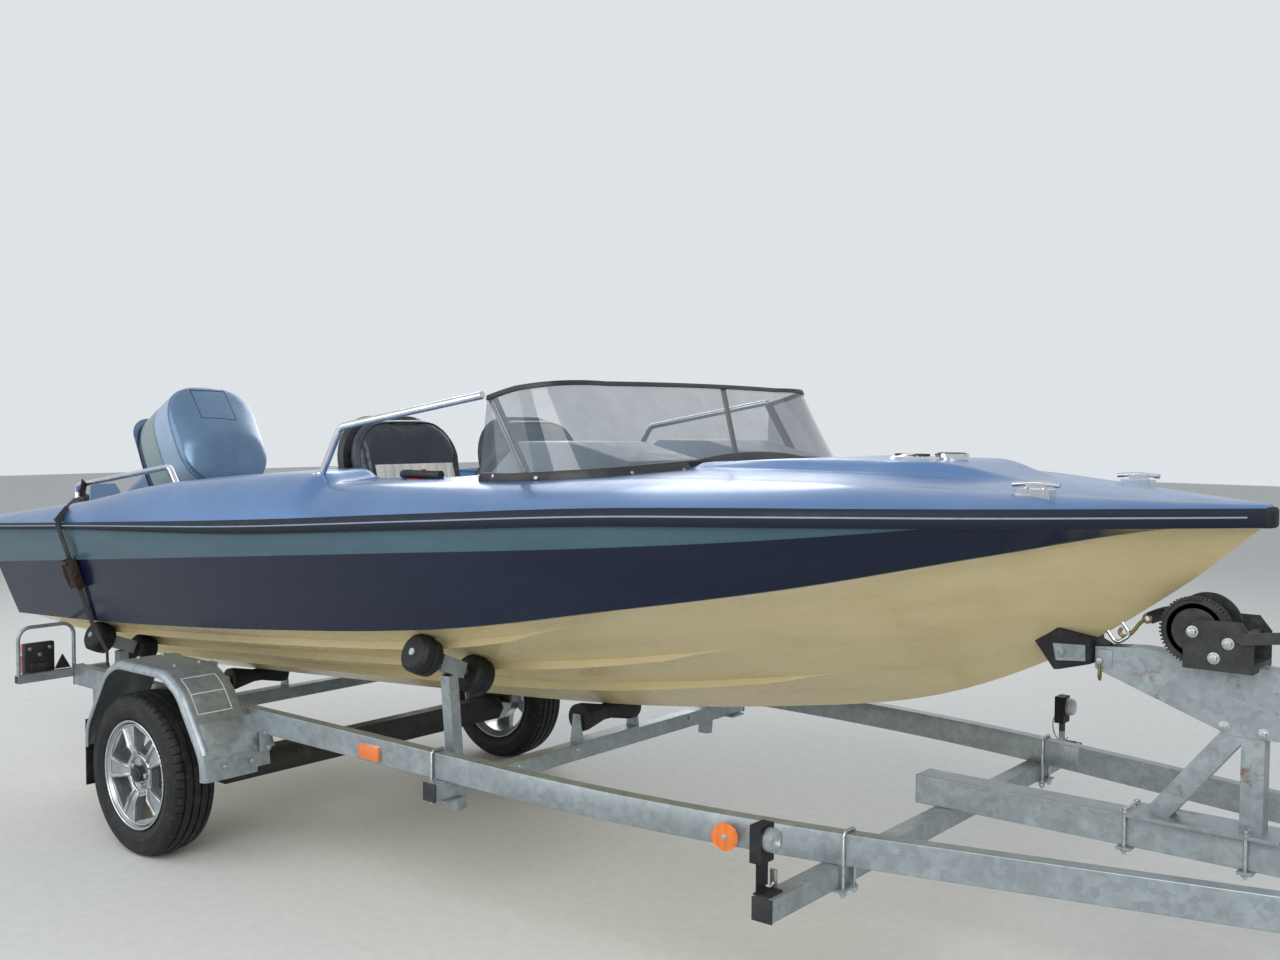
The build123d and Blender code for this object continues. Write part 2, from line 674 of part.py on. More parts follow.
def bilge_unit(x, foot_z, lean, roller_y):
    """A leaning post with one tilted axle and a ribbed roller at each end, below the bottom."""
    slope = bottom_slope(x)
    turn = sqrt(1.0 + slope * slope)
    along = Vector(0, 1.0 / turn, slope / turn)
    down = Vector(0, slope / turn, -1.0 / turn)
    centres = [Vector(x, y, bottom_z(x, y)) + down * (ROLLER_RADIUS + RUNNING_GAP) for y in roller_y]
    rollers = [turned(roller_profile(), tuple(centre), tuple(along)) for centre in centres]
    out_end = centres[0] + along * (ROLLER_HALF + 6.0)
    in_end = centres[1] - along * (ROLLER_HALF + 6.0)
    middle = (centres[0] + centres[1]) * 0.5
    shaft = rod(tuple(in_end), tuple(out_end), ROLLER_BORE)
    top_z = middle.Z - POST_HEAD / 2 - 3.0
    post = square_tube((x, middle.Y - lean, foot_z), (x, middle.Y, top_z),
                       POST_SIZE, POST_SIZE, POST_WALL, across=(1, 0, 0))
    head = bar(tuple(middle - along * POST_HEAD_HALF), tuple(middle + along * POST_HEAD_HALF),
               POST_HEAD, POST_HEAD, across=(1, 0, 0))
    return post + head + shaft, rollers


def build_bilge_units():
    frames, rollers = [], []
    # Each row: the post's place, its foot, how far its top leans out, and its rollers
    for x, foot_z, lean, roller_y in (
        (MIDDLE_CROSS_X - (CROSS_SIZE + POST_SIZE) / 2, MIDDLE_POST_LOW_Z, 36.0, MIDDLE_ROLLERS),
        (REAR_CROSS_X, REAR_CROSS_TOP_Z, 0.0, REAR_ROLLERS),
    ):
        frame, pair = bilge_unit(x, foot_z, lean, roller_y)
        frames += both(frame)
        for roller in pair:
            rollers += both(roller)
    node("bilge_posts", frames)
    node("bilge_rollers", rollers)


def build_keel_rollers():
    """A waisted roller under the keel over each of two cross members, between two plates."""
    half, end, waist = KEEL_ROLLER_HALF, KEEL_ROLLER_END, KEEL_ROLLER_WAIST
    frames, rollers = [], []
    for x, foot_z in ((MIDDLE_CROSS_X, CROSS_TOP_Z), (REAR_CROSS_X, REAR_CROSS_TOP_Z)):
        z = bottom_z(x, 0.0) - waist - RUNNING_GAP
        rollers.append(turned(
            ((-half, 8.0), (-half, end), (23.0 - half, end), (-20.0, waist), (20.0, waist),
             (half - 23.0, end), (half, end), (half, 8.0)), (x, 0, z)))
        frame = rod((x, -half - 17.0, z), (x, half + 17.0, z), 8.0)
        for side in (1, -1):
            frame = frame + side_plate(((x - 26.0, foot_z), (x + 26.0, foot_z), (x + 14.0, z + 14.0),
                                        (x - 14.0, z + 14.0)), side * (half + 9.0), 6.0)
        frame = frame + block((x - 26.0, x + 26.0), (-half - 12.0, half + 12.0), (foot_z, foot_z + 6.0))
        frames.append(frame)
    node("keel_roller_frames", frames)
    node("keel_rollers", rollers)


def build_winch_stand():
    top = CROSS_TOP_Z + BEAM_HEIGHT
    plate = block((2980.0, 3320.0), (-62.0, 62.0), (top, top + 8.0))
    strut = square_tube((3040.0, 0, top + 8.0), (3216.0, 0, 760.0), 50.0, 50.0, 3.0)
    strut = strut - block((2900.0, 3400.0), (-60.0, 60.0), (400.0, top + 8.0))
    post = square_tube((3252.0, 0, top + 8.0), (3252.0, 0, 790.0), 50.0, 50.0, 3.0)
    arm_points = ((2890.0, 868.0), (2890.0, 922.0), (3000.0, 930.0), (3460.0, 900.0),
                  (3460.0, 752.0), (3200.0, 752.0))
    cheeks = [side_plate(arm_points, y, 5.0) for y in (-27.5, 27.5)]
    tie = rod((3330.0, -27.5, 800.0), (3330.0, 27.5, 800.0), 12.0)
    web = tie + side_plate(((2968.0, 923.0), (3000.0, 925.0), (3460.0, 895.0), (3460.0, 900.0),
                      (3000.0, 930.0), (2968.0, 928.0)), 0.0, 55.0)
    fork = side_plate(((2900.0, 878.0), (2900.0, 906.0), (2940.0, 906.0), (2940.0, 878.0)), 0.0, 52.0)
    stand = plate + strut + post + web + fork
    for cheek in cheeks:
        stand = stand + cheek
    node("winch_stand", stand)
    stop = plan_plate(((2735.0, 96.0), (2830.0, 104.0), (2884.0, 48.0), (2888.0, 23.0),
                       (2914.0, 23.0), (2914.0, -23.0), (2888.0, -23.0), (2884.0, -48.0),
                       (2830.0, -104.0), (2735.0, -96.0)), 850.0, 150.0)
    stop = stop & side_plate(((2746.0, 954.0), (2798.0, 984.0), (2914.0, 926.0), (2914.0, 885.0),
                              (2815.0, 866.0)), 0.0, 220.0)
    stop = stop - fork - PARTS["hull"]
    stop = stop - PARTS["winch_stand"]
    node("bow_stop", biggest(stop))


def build_winch():
    sides = []
    for y in (-80.0, 80.0):
        sides.append(side_plate(((3110.0, 905.0), (3110.0, 985.0), (3135.0, 1020.0), (3235.0, 1020.0),
                                 (3262.0, 985.0), (3262.0, 905.0)), y, 4.0))
    base = block((3226.0, 3262.0), (-82.0, 82.0), (905.0, 923.0)) - PARTS["winch_stand"]
    shaft = rod((3130.0, -84.0, 990.0), (3130.0, 84.0, 990.0), 9.0)
    gear = turned(((-66.0, 9.0), (-66.0, 88.0), (-56.0, 88.0), (-56.0, 9.0)), (3130.0, 0, 990.0))
    drum = turned(((-52.0, 9.0), (-52.0, 78.0), (-48.0, 78.0), (-46.0, 60.0), (46.0, 60.0),
                   (48.0, 78.0), (52.0, 78.0), (52.0, 9.0)), (3130.0, 0, 990.0))
    body = base + shaft
    for piece in sides:
        body = body + piece
    crank = rod((3236.0, -100.0, 985.0), (3236.0, 96.0, 985.0), 8.0)
    node("winch_frame", body - crank)
    node("winch_drum", drum + gear)
    arm = bar((3236.0, -96.0, 985.0), (3420.0, -96.0, 1010.0), 6.0, 26.0)
    grip = rod((3405.0, -92.0, 1008.0), (3405.0, -220.0, 1008.0), 15.0)
    node("winch_crank", crank + arm + grip)


def build_lamps():
    bracket_list, lens_list = [], []
    for side in (1, -1):
        x, y = FRONT_CROSS_X - 9.0, (FRONT_CROSS_HALF - 35.0) * side
        foot = block((x - 20.0, x + 20.0), (y - 30.0, y + 30.0), (CROSS_TOP_Z, CROSS_TOP_Z + 4.0))
        stem = block((x - 18.0, x - 14.0), (y - 22.0, y + 22.0), (CROSS_TOP_Z, CROSS_TOP_Z + 75.0))
        rubber = block((x - 32.0, x - 2.0), (y - 26.0, y + 26.0), (CROSS_TOP_Z + 66.0, CROSS_TOP_Z + 150.0))
        lens = Pos(x + 12.0, y, CROSS_TOP_Z + 118.0) * Rot(0, 90, 0) * Cylinder(27.0, 28.0)
        bracket_list.append(foot + stem)
        bracket_list.append(rubber)
        lens_list.append(lens)
    node("front_lamp_brackets", bracket_list)
    node("front_lamps", lens_list)


def build_rear_lamps():
    z0, z1 = 480.0, 510.0
    x = RAIL_REAR_X - 15.0
    rail = square_tube((x, 570.0, (z0 + z1) / 2), (x, 926.0, (z0 + z1) / 2), 30.0, 30.0, 2.5,
                       across=(1, 0, 0))
    hoop = pipe(((x, 706.0, z1), (x, 706.0, 684.0), (x, 918.0, 684.0), (x, 918.0, z1)), 45.0, 7.0)
    lamp = block((x - 62.0, x - 15.0), (772.0, 888.0), (500.0, 620.0))
    lamp = lamp + block((x - 15.0, x - 8.0), (790.0, 870.0), (510.0, 545.0))
    node("rear_lamp_frames", both(rail + hoop))
    node("rear_lamps", both(lamp - rail))


def build_jockey():
    """The jockey wheel: clamp and outer tube fixed, stem sliding, fork swivelling, wheel."""
    x, y = JOCKEY_X, JOCKEY_Y
    bore = JOCKEY_TUBE_RADIUS - JOCKEY_TUBE_WALL
    tube = rod((x, y, JOCKEY_TUBE_LOW_Z), (x, y, JOCKEY_TUBE_TOP_Z), JOCKEY_TUBE_RADIUS)
    tube = tube - rod((x, y, JOCKEY_TUBE_LOW_Z - 1.0), (x, y, JOCKEY_TUBE_TOP_Z - 4.0), bore)
    low, high = CROSS_TOP_Z + 6.0, CROSS_TOP_Z + 70.0
    clamp = block((x - 34.0, x + 34.0), (BEAM_WIDTH / 2, y), (low, high))
    clamp = clamp + rod((x, y, low), (x, y, high), 34.0)
    node("jockey_clamp", clamp - rod((x, y, low - 6.0), (x, y, high + 6.0), JOCKEY_TUBE_RADIUS))
    top = JOCKEY_TUBE_TOP_Z + 9.0
    handle = bar((x, y, top), (x - 110.0, y, top), 18.0, 6.0)
    handle = handle + rod((x, y, JOCKEY_TUBE_TOP_Z - 2.0), (x, y, top + 4.0), 12.0)
    handle = handle + rod((x - 100.0, y, top), (x - 100.0, y, top + 74.0), 11.0)
    node("jockey_tube", tube + handle)

    crown_z = 2 * JOCKEY_RADIUS + 30.0
    stem = rod((x, y, crown_z + 6.0), (x, y, JOCKEY_STEM_TOP_Z), bore - RUNNING_FIT)
    pin = rod((x, y, crown_z - 14.0), (x, y, crown_z + 8.0), 8.0)
    node("jockey_stem", stem + pin)

    wheel_x = x - JOCKEY_TRAIL
    fork = block((wheel_x - 10.0, x + 22.0), (y - 36.0, y + 36.0), (crown_z - 8.0, crown_z + 5.7))
    fork = fork - rod((x, y, crown_z - 20.0), (x, y, crown_z + 20.0), 8.0 + RUNNING_FIT)
    for side in (1, -1):
        fork = fork + side_plate(
            ((x + 18.0, crown_z - 8.0), (x + 18.0, crown_z - 30.0), (wheel_x + 14.0, JOCKEY_RADIUS - 14.0),
             (wheel_x - 16.0, JOCKEY_RADIUS - 14.0), (wheel_x - 20.0, crown_z - 8.0)), y + side * 34.0, 4.0)
    fork = fork + rod((wheel_x, y - 35.0, JOCKEY_RADIUS), (wheel_x, y + 35.0, JOCKEY_RADIUS), 6.0)
    node("jockey_fork", fork)
    r, h = JOCKEY_RADIUS, JOCKEY_WIDTH / 2
    bore = 6.0 + RUNNING_FIT
    node("jockey_wheel", turned(((-h, bore), (-h, r - 12.0), (-h + 10.0, r), (h - 10.0, r), (h, r - 12.0),
                                 (h, bore)), (wheel_x, y, JOCKEY_RADIUS)))


def engine_place(shape):
    """Turn a piece drawn upright about the tilt tube into its tilted place."""
    moved = Pos(PIVOT_X, 0, PIVOT_Z) * shape
    return moved.rotate(Axis((PIVOT_X, 0, PIVOT_Z), (0, 1, 0)), TILT_REST)


def cowl_section(z, back, front, half, corner):
    plan = Pos((back + front) / 2, 0) * RectangleRounded(front - back, 2 * half, corner)
    return Pos(0, 0, z) * plan


def build_engine():
    # The clamp bracket is fixed on the transom, the rest tilts about its tube
    top_in, top_out = transom_x(TRANSOM_TOP_Z) + TRANSOM_WALL, transom_x(TRANSOM_TOP_Z)
    leg_in = transom_x(CLAMP_LEG_Z) + TRANSOM_WALL
    hook_points = (
        (leg_in + 1.0, CLAMP_LEG_Z), (leg_in + 30.0, CLAMP_LEG_Z),
        (top_in + 36.0, TRANSOM_TOP_Z + 50.0), (PIVOT_X + 34.0, PIVOT_Z + 34.0),
        (PIVOT_X - 30.0, PIVOT_Z + 34.0), (top_out - 40.0, TRANSOM_TOP_Z + 10.0),
        (transom_x(640.0) - 40.0, 640.0), (transom_x(640.0) - 0.5, 640.0),
        (top_out - 0.5, TRANSOM_TOP_Z + 0.5), (top_in + 1.0, TRANSOM_TOP_Z + 0.5),
    )
    bracket = None
    for y in (-128.0, 128.0):
        plate = side_plate(hook_points, y, 22.0)
        bracket = plate if bracket is None else bracket + plate
    tube = rod((PIVOT_X, -150.0, PIVOT_Z), (PIVOT_X, 150.0, PIVOT_Z), 16.0)
    node("engine_clamp", bracket + tube)

    swivel = rod((0, -112.0, 0), (0, 112.0, 0), 30.0) - rod((0, -120.0, 0), (0, 120.0, 0), 16.05)
    body = side_plate(
        ((10.0, 28.0), (-60.0, 58.0), (SWIVEL_X, 58.0), (SWIVEL_X, -330.0), (SWIVEL_X + 24.0, -330.0),
         (-52.0, -120.0), (-50.0, -42.0), (10.0, -42.0)), 0.0, 96.0)
    sleeve = rod((SWIVEL_X, 0, -330.0), (SWIVEL_X, 0, 58.0), 38.0)
    swivel_body = (body - rod((0, -60.0, 0), (0, 60.0, 0), 29.0)) + swivel + sleeve
    swivel_body = swivel_body - rod((SWIVEL_X, 0, -340.0), (SWIVEL_X, 0, 70.0), 20.05)
    node("engine_swivel", engine_place(swivel_body))

    back, front, half = -420.0, 40.0, 205.0
    pan_low, pan_high, cowl_high = 96.0, 190.0, 560.0
    pan = loft([cowl_section(pan_low, back + 70.0, front - 60.0, half - 70.0, 60.0),
                cowl_section(pan_high, back, front, half, 90.0)])
    shaft = rod((SWIVEL_X, 0, -345.0), (SWIVEL_X, 0, pan_low + 1.0), 20.0)
    yoke_top = block((SWIVEL_X - 130.0, SWIVEL_X + 40.0), (-44.0, 44.0), (66.0, pan_low + 6.0))
    yoke_low = block((SWIVEL_X - 130.0, SWIVEL_X + 28.0), (-40.0, 40.0), (-372.0, -338.0))
    leg = loft([
        Pos(SWIVEL_X - 120.0, 0, pan_low + 6.0) * RectangleRounded(150.0, 130.0, 40.0),
        Pos(SWIVEL_X - 128.0, 0, -160.0) * RectangleRounded(130.0, 104.0, 40.0),
        Pos(SWIVEL_X - 132.0, 0, -480.0) * RectangleRounded(150.0, 72.0, 30.0),
    ])
    plate = plan_plate(((SWIVEL_X - 60.0, -40.0), (SWIVEL_X - 60.0, 40.0), (SWIVEL_X - 240.0, 88.0),
                        (SWIVEL_X - 330.0, 60.0), (SWIVEL_X - 330.0, -60.0), (SWIVEL_X - 240.0, -88.0)),
                       -492.0, 12.0)
    strut = loft([
        Pos(SWIVEL_X - 128.0, 0, -490.0) * RectangleRounded(150.0, 60.0, 26.0),
        Pos(SWIVEL_X - 122.0, 0, -640.0) * RectangleRounded(180.0, 40.0, 18.0),
    ])
    gear_x, gear_z = SWIVEL_X - 130.0, -660.0
    bullet = turned(((-150.0, 0.0), (-130.0, 24.0), (-70.0, 44.0), (40.0, 48.0), (120.0, 40.0),
                     (120.0, 0.0)), (gear_x, 0, gear_z), (-1, 0, 0))
    skeg = side_plate(((gear_x + 90.0, gear_z - 20.0), (gear_x + 30.0, gear_z - 150.0),
                       (gear_x - 70.0, gear_z - 165.0), (gear_x - 90.0, gear_z - 20.0)), 0.0, 12.0)
    prop_shaft = rod((gear_x - 110.0, 0, gear_z), (gear_x - 218.0, 0, gear_z), 12.0)
    lower = pan + shaft + yoke_top + yoke_low + leg + plate + strut + bullet + skeg + prop_shaft
    node("engine_leg", engine_place(lower))

    powerhead = block((back + 90.0, front - 90.0), (-120.0, 120.0), (pan_high, cowl_high - 80.0))
    node("engine_powerhead", engine_place(powerhead))
    shell = loft([cowl_section(pan_high, back, front, half, 90.0),
                  cowl_section(cowl_high - 120.0, back - 8.0, front + 6.0, half + 4.0, 90.0)])
    shell = shell + loft([cowl_section(cowl_high - 120.0, back - 8.0, front + 6.0, half + 4.0, 90.0),
                          cowl_section(cowl_high, back + 40.0, front - 30.0, half - 36.0, 80.0)])
    core = loft([cowl_section(pan_high - 1.0, back + 6.0, front - 6.0, half - 6.0, 84.0),
                 cowl_section(cowl_high - 120.0, back - 2.0, front, half - 2.0, 84.0)])
    core = core + loft([cowl_section(cowl_high - 120.0, back - 2.0, front, half - 2.0, 84.0),
                        cowl_section(cowl_high - 8.0, back + 46.0, front - 36.0, half - 42.0, 74.0)])
    node("engine_cowl", engine_place(shell - core))

    prop_x = gear_x - 122.0
    hub = turned(((0.0, 12.05), (0.0, 40.0), (84.0, 34.0), (100.0, 20.0), (100.0, 12.05)),
                 (prop_x, 0, gear_z), (-1, 0, 0))
    prop = hub
    for index in range(3):
        blade = Pos(prop_x - 44.0, 0, gear_z) * Rot(0, 0, 32.0) * Pos(0, 0, 82.0) * Box(6.0, 84.0, 106.0)
        blade = blade.rotate(Axis((prop_x, 0, gear_z), (1, 0, 0)), index * 120.0)
        blade = blade - rod((prop_x, 0, gear_z), (prop_x - 110.0, 0, gear_z), 12.05)
        prop = prop + blade
    node("propeller", engine_place(prop))


def build_seats():
    shells, pads = [], []
    for side in (1, -1):
        y = side * SEAT_Y
        half = SEAT_WIDTH / 2
        floor = FLOOR_Z + FLOOR_SLOPE * SEAT_X
        base = block((SEAT_X + 20.0, SEAT_X + 380.0), (y - 170.0, y + 170.0),
                     (floor - 60.0, SEAT_CUSHION_Z - 120.0))
        back = side_plate(((SEAT_X + 30.0, SEAT_CUSHION_Z - 120.0), (SEAT_X - 60.0, SEAT_TOP_Z - 12.0),
                           (SEAT_X - 30.0, SEAT_TOP_Z - 12.0), (SEAT_X + 60.0, SEAT_CUSHION_Z - 120.0)),
                          y, SEAT_WIDTH - 40.0)
        base = base & tub_block(0.0, 1300.0)
        shells.append(base + back)
        cushion = block((SEAT_X + 72.0, SEAT_X + 420.0), (y - half + 10.0, y + half - 10.0),
                        (SEAT_CUSHION_Z - 119.7, SEAT_CUSHION_Z))
        low = SEAT_CUSHION_Z + 0.3
        rest = side_plate(((SEAT_X + 60.0, low), (SEAT_X - 29.0, SEAT_TOP_Z),
                           (SEAT_X + 40.0, SEAT_TOP_Z), (SEAT_X + 150.0, low)),
                          y, SEAT_WIDTH)
        pads.append(cushion)
        pads.append(rest)
    node("seat_shells", shells)
    node("seat_cushions", pads)
    bench = block((TUB_REAR_X + 90.0, BENCH_FRONT_X + 10.0), (-TUB_HALF + 12.0, TUB_HALF - 12.0),
                  (BENCH_TOP_Z + 0.3, BENCH_TOP_Z + 80.0))
    back = block((TUB_REAR_X + 1.0, TUB_REAR_X + 89.0), (-TUB_HALF + 70.0, TUB_HALF - 70.0),
                 (BENCH_TOP_Z + 0.3, 1180.0))
    node("bench_cushions", bench, back)


def screen_sheet(inset, base_z):
    """A solid wedge under the screen's outside, moved in by inset."""
    faces = []
    for z, front, aft, half in (
        (base_z, SCREEN_FRONT_X, SCREEN_AFT_X, SCREEN_HALF),
        (SCREEN_TOP_Z, SCREEN_TOP_FRONT_X, SCREEN_TOP_AFT_X, SCREEN_TOP_HALF),
    ):
        f, h = front - inset, half - inset
        run = f - aft
        front_arc = ThreePointArc(
            (f - 0.10 * run, -0.62 * h, z), (f, 0, z), (f - 0.10 * run, 0.62 * h, z))
        side_a = Spline((aft, -h, z), (f - 0.42 * run, -h + 22.0, z), (f - 0.10 * run, -0.62 * h, z))
        side_b = Spline((aft, h, z), (f - 0.42 * run, h - 22.0, z), (f - 0.10 * run, 0.62 * h, z))
        close = Line((aft, -h, z), (aft, h, z))
        faces.append(make_face(Wire([side_a, front_arc, side_b, close])))
    return loft(faces, ruled=True)


def screen_band(margin):
    """The curved sheet of the screen from below deck to its sloping top edge."""
    outer = screen_sheet(-margin, SCREEN_BASE_Z)
    inner = screen_sheet(SCREEN_SHEET + margin, SCREEN_BASE_Z)
    over = side_plate(SCREEN_TOP_LINE + ((2100.0, 1700.0), (1300.0, 1700.0)), 0.0, 1600.0)
    aft = block((1200.0, SCREEN_TOP_AFT_X + 0.5), (-600.0, 600.0), (1200.0, 1700.0))
    return outer - inner - over - aft


def screen_struts(body):
    """Two end struts inside the screen's aft corners and one slim strut near its middle."""
    end = bar((1462.0, 678.0, 1526.0), (1610.0, 678.0, 1290.0), 15.0, 22.0)
    middle = bar((1662.0, 120.0, 1572.0), (1726.0, 120.0, 1320.0), 12.0, 10.0)
    return [end - body, opposite(end) - body, middle - body]


def build_screen(body):
    body = body + PARTS["deck"]
    sheet = screen_band(0.0) - body
    thick = screen_band(SCREEN_TRIM) - body
    foot = thick & (Pos(0, 0, SCREEN_FOOT_HEIGHT) * body)
    drop = [(x, z - SCREEN_TRIM_HEIGHT) for x, z in SCREEN_TOP_LINE]
    top = thick & side_plate(list(SCREEN_TOP_LINE) + list(reversed(drop)), 0.0, 1600.0)
    struts = [strut - foot - top for strut in screen_struts(body)]
    node("windscreen_frame", biggest(foot), biggest(top), struts)
    node("windscreen", biggest(sheet - foot - top))


def build_handrails():
    pieces = []
    for side in (1, -1):
        pieces.append(pipe(((770.0, side * 738.0, 1262.0), (885.0, side * 738.0, 1442.0),
                            (1446.0, side * 700.0, 1532.0)), 40.0, 11.0) - PARTS["deck"])
        y = side * 505.0
        pieces.append(pipe(((-1110.0, y, 1120.0), (-1124.0, y, 1186.0), (-430.0, y, 1282.0),
                            (-360.0, y, 1190.0)), 30.0, 11.0) - PARTS["deck"])
    node("handrails", pieces)


def build_dash():
    pods = []
    for side in (1, -1):
        y = side * 325.0
        pods.append(side_plate(((1262.0, 1312.0), (1372.0, 1404.0), (1575.0, 1404.0), (1800.0, 1352.0),
                                (1800.0, 1330.0), (1262.0, 1300.0)), y, 330.0) - PARTS["deck"])
    node("dash_pods", pods)


def build_steering():
    """The dash panel and the steering wheel on its column."""
    panel = block((TUB_DASH_X + 1.0, TUB_DASH_X + 13.0), (-TUB_HALF + 1.0, TUB_HALF - 1.0),
                  (DASH_LOW_Z, 1300.0))
    panel = biggest(panel - PARTS["deck"] - PARTS["hull"])
    axis = Vector(-cos(radians(WHEEL_TILT)), 0, sin(radians(WHEEL_TILT)))
    centre = Vector(WHEEL_X, WHEEL_Y, WHEEL_Z)
    foot = centre - axis * ((TUB_DASH_X + 7.0 - WHEEL_X) / cos(radians(WHEEL_TILT)))
    housing_end = centre - axis * 34.0
    housing = rod(tuple(foot), tuple(housing_end), 24.0)
    column = rod(tuple(foot), tuple(centre - axis * 6.0), 9.0)
    node("dash_panel", panel + housing + column)
    plane = Plane(origin=tuple(centre), x_dir=(0, 1, 0), z_dir=tuple(axis))
    rim = plane * Torus(WHEEL_RADIUS - WHEEL_GRIP, WHEEL_GRIP)
    hub = rod(tuple(centre - axis * 32.0), tuple(centre + axis * 10.0), 30.0)
    hub = hub - rod(tuple(centre - axis * 40.0), tuple(centre - axis * 5.5), 9.05)
    wheel = rim + hub
    for angle in (90.0, 210.0, 330.0):
        spoke = plane * Rot(0, 0, angle) * Pos(78.0, 0, 0) * Box(130.0, 24.0, 5.0)
        wheel = wheel + spoke
    node("steering_wheel", wheel)


def build_throttle():
    """The throttle box on the starboard side deck, with its lever laid forward."""
    box = block((1062.0, 1142.0), (-640.0, -592.0), (1240.0, 1288.0))
    stem = rod((1088.0, -616.0, 1286.0), (1088.0, -616.0, 1302.0), 9.0)
    lever = rod((1022.0, -616.0, 1302.0), (1188.0, -616.0, 1304.0), 13.0)
    node("throttle_control", biggest((box + stem + lever) - PARTS["deck"]))


def build_tie_downs():
    """A ratchet strap on each side, from the stern rail over the gunwale to the main rail."""
    deck_run = ((-1058.0, 505.0, 1206.0), (-1000.0, 548.0, 1146.0), (-800.0, 668.0, 1151.0),
                (-640.0, 790.0, 1128.0), (-560.0, 874.0, 1086.0))
    side_run = ((-560.0, 874.0, 1086.0), (-540.0, 762.0, 722.0), (-504.0, 720.0, 604.0))
    strap = []
    for points, across in ((deck_run, (0.5, 0.85, 0.0)), (side_run, (1.0, 0.0, 0.0))):
        for a, b in zip(points, points[1:]):
            strap.append(bar(a, b, STRAP_WIDTH, STRAP_SHEET, across))
    ratchet = bar((-550.0, 836.0, 946.0), (-546.0, 806.0, 850.0), 44.0, 30.0, (1.0, 0.0, 0.0))
    hook = pipe(((-504.0, 720.0, 612.0), (-504.0, 719.0, 560.0), (-504.0, 704.0, 519.0)), 30.0, 5.0)
    whole = strap[0]
    for piece in strap[1:] + [ratchet, hook]:
        whole = whole + piece
    for name in ("hull", "deck", "rub_rail", "handrails", "main_rails"):
        whole = whole - PARTS[name]
    pieces = [solid for solid in whole.solids() if solid.volume > 2000.0]
    node("tie_down_straps", pieces, [opposite(piece) for piece in pieces])


def build_deck_fittings():
    """Bow cleats, the dome vent and the filler on the foredeck, and the bow eye."""
    cleats = []
    for side in (1, -1):
        base = block((2822.0, 2900.0), (side * 346.0 - 22.0, side * 346.0 + 22.0), (1290.0, 1317.0))
        horn = pipe(((2806.0, side * 346.0, 1326.0), (2861.0, side * 346.0, 1331.0),
                     (2916.0, side * 346.0, 1326.0)), 60.0, 6.0)
        legs = block((2838.0, 2884.0), (side * 346.0 - 6.0, side * 346.0 + 6.0), (1310.0, 1330.0))
        cleats.append((base + horn + legs) - PARTS["deck"])
    node("bow_cleats", cleats)
    vent = turned(((-30.0, 0.0), (-30.0, 62.0), (6.0, 62.0), (14.0, 54.0), (20.0, 30.0), (22.0, 0.0)),
                  (2375.0, 0.0, 1360.0), (0, 0, 1))
    filler = turned(((-30.0, 0.0), (-30.0, 34.0), (12.0, 34.0), (12.0, 44.0), (22.0, 44.0), (22.0, 0.0)),
                    (2490.0, 0.0, 1362.0), (0, 0, 1))
    node("deck_vents", vent - PARTS["deck"], filler - PARTS["deck"])
    eye = pipe(((2897.0, 0, 975.0), (2931.0, 0, 929.0), (2965.0, 0, 954.0), (2931.0, 0, 1000.0)), 14.0, 5.0)
    eye = eye - PARTS["hull"]
    node("bow_eye", biggest(eye))
    hook_x, hook_z = 2968.0, 966.0
    reach = sqrt((3130.0 - hook_x) ** 2 + (990.0 - hook_z) ** 2)
    lean = atan2(990.0 - hook_z, 3130.0 - hook_x) + atan2(DRUM_RADIUS, sqrt(reach ** 2 - DRUM_RADIUS ** 2))
    run = sqrt(reach ** 2 - DRUM_RADIUS ** 2)
    end = (hook_x + run * cos(lean), 0, hook_z + run * sin(lean))
    node("winch_strap", bar((hook_x, 0, hook_z), end, 50.0, 3.0))


def main():
    body = boat_body()
    build_boat(body)
    rail = rub_rail() - PARTS["hull"] - PARTS["deck"] - body
    node("rub_rail", both(biggest(rail)))
    for side, name in ((1, "wheel_left"), (-1, "wheel_right")):
        build_wheel(side, name)
    build_axle()
    build_rails()
    build_cross_members()
    build_beam()
    build_coupling()
    build_mudguards()
    build_bilge_units()
    build_keel_rollers()
    build_winch_stand()
    build_winch()
    build_lamps()
    build_rear_lamps()
    build_jockey()
    build_engine()
    build_seats()
    build_screen(body)
    build_handrails()
    build_dash()
    build_steering()
    build_throttle()
    build_tie_downs()
    build_deck_fittings()


main()
os.makedirs("parts", exist_ok=True)
boxes = [shape.bounding_box() for shape in PARTS.values()]
low_x = min(b.min.X for b in boxes)
high_x = max(b.max.X for b in boxes)
SHIFT_X = round(-(low_x + high_x) / 2, 1)
print("shift", SHIFT_X, "from", low_x, "to", high_x)
for name, shape in PARTS.items():
    export_step(Pos(SHIFT_X, 0, 0) * shape, f"parts/{name}.step")
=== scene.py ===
# %% [markdown]
# # A speedboat on its trailer
# This script dresses the engineer's model of a small outboard speedboat that stands on a
# roller trailer. The solid model gives every place and size. Here each surface gets the
# shape, the paint and the small fittings that the eye expects.

# %% Load the frame
from math import atan2, cos, pi, radians, sin, sqrt, tan

import bpy
from mathutils import Matrix, Vector


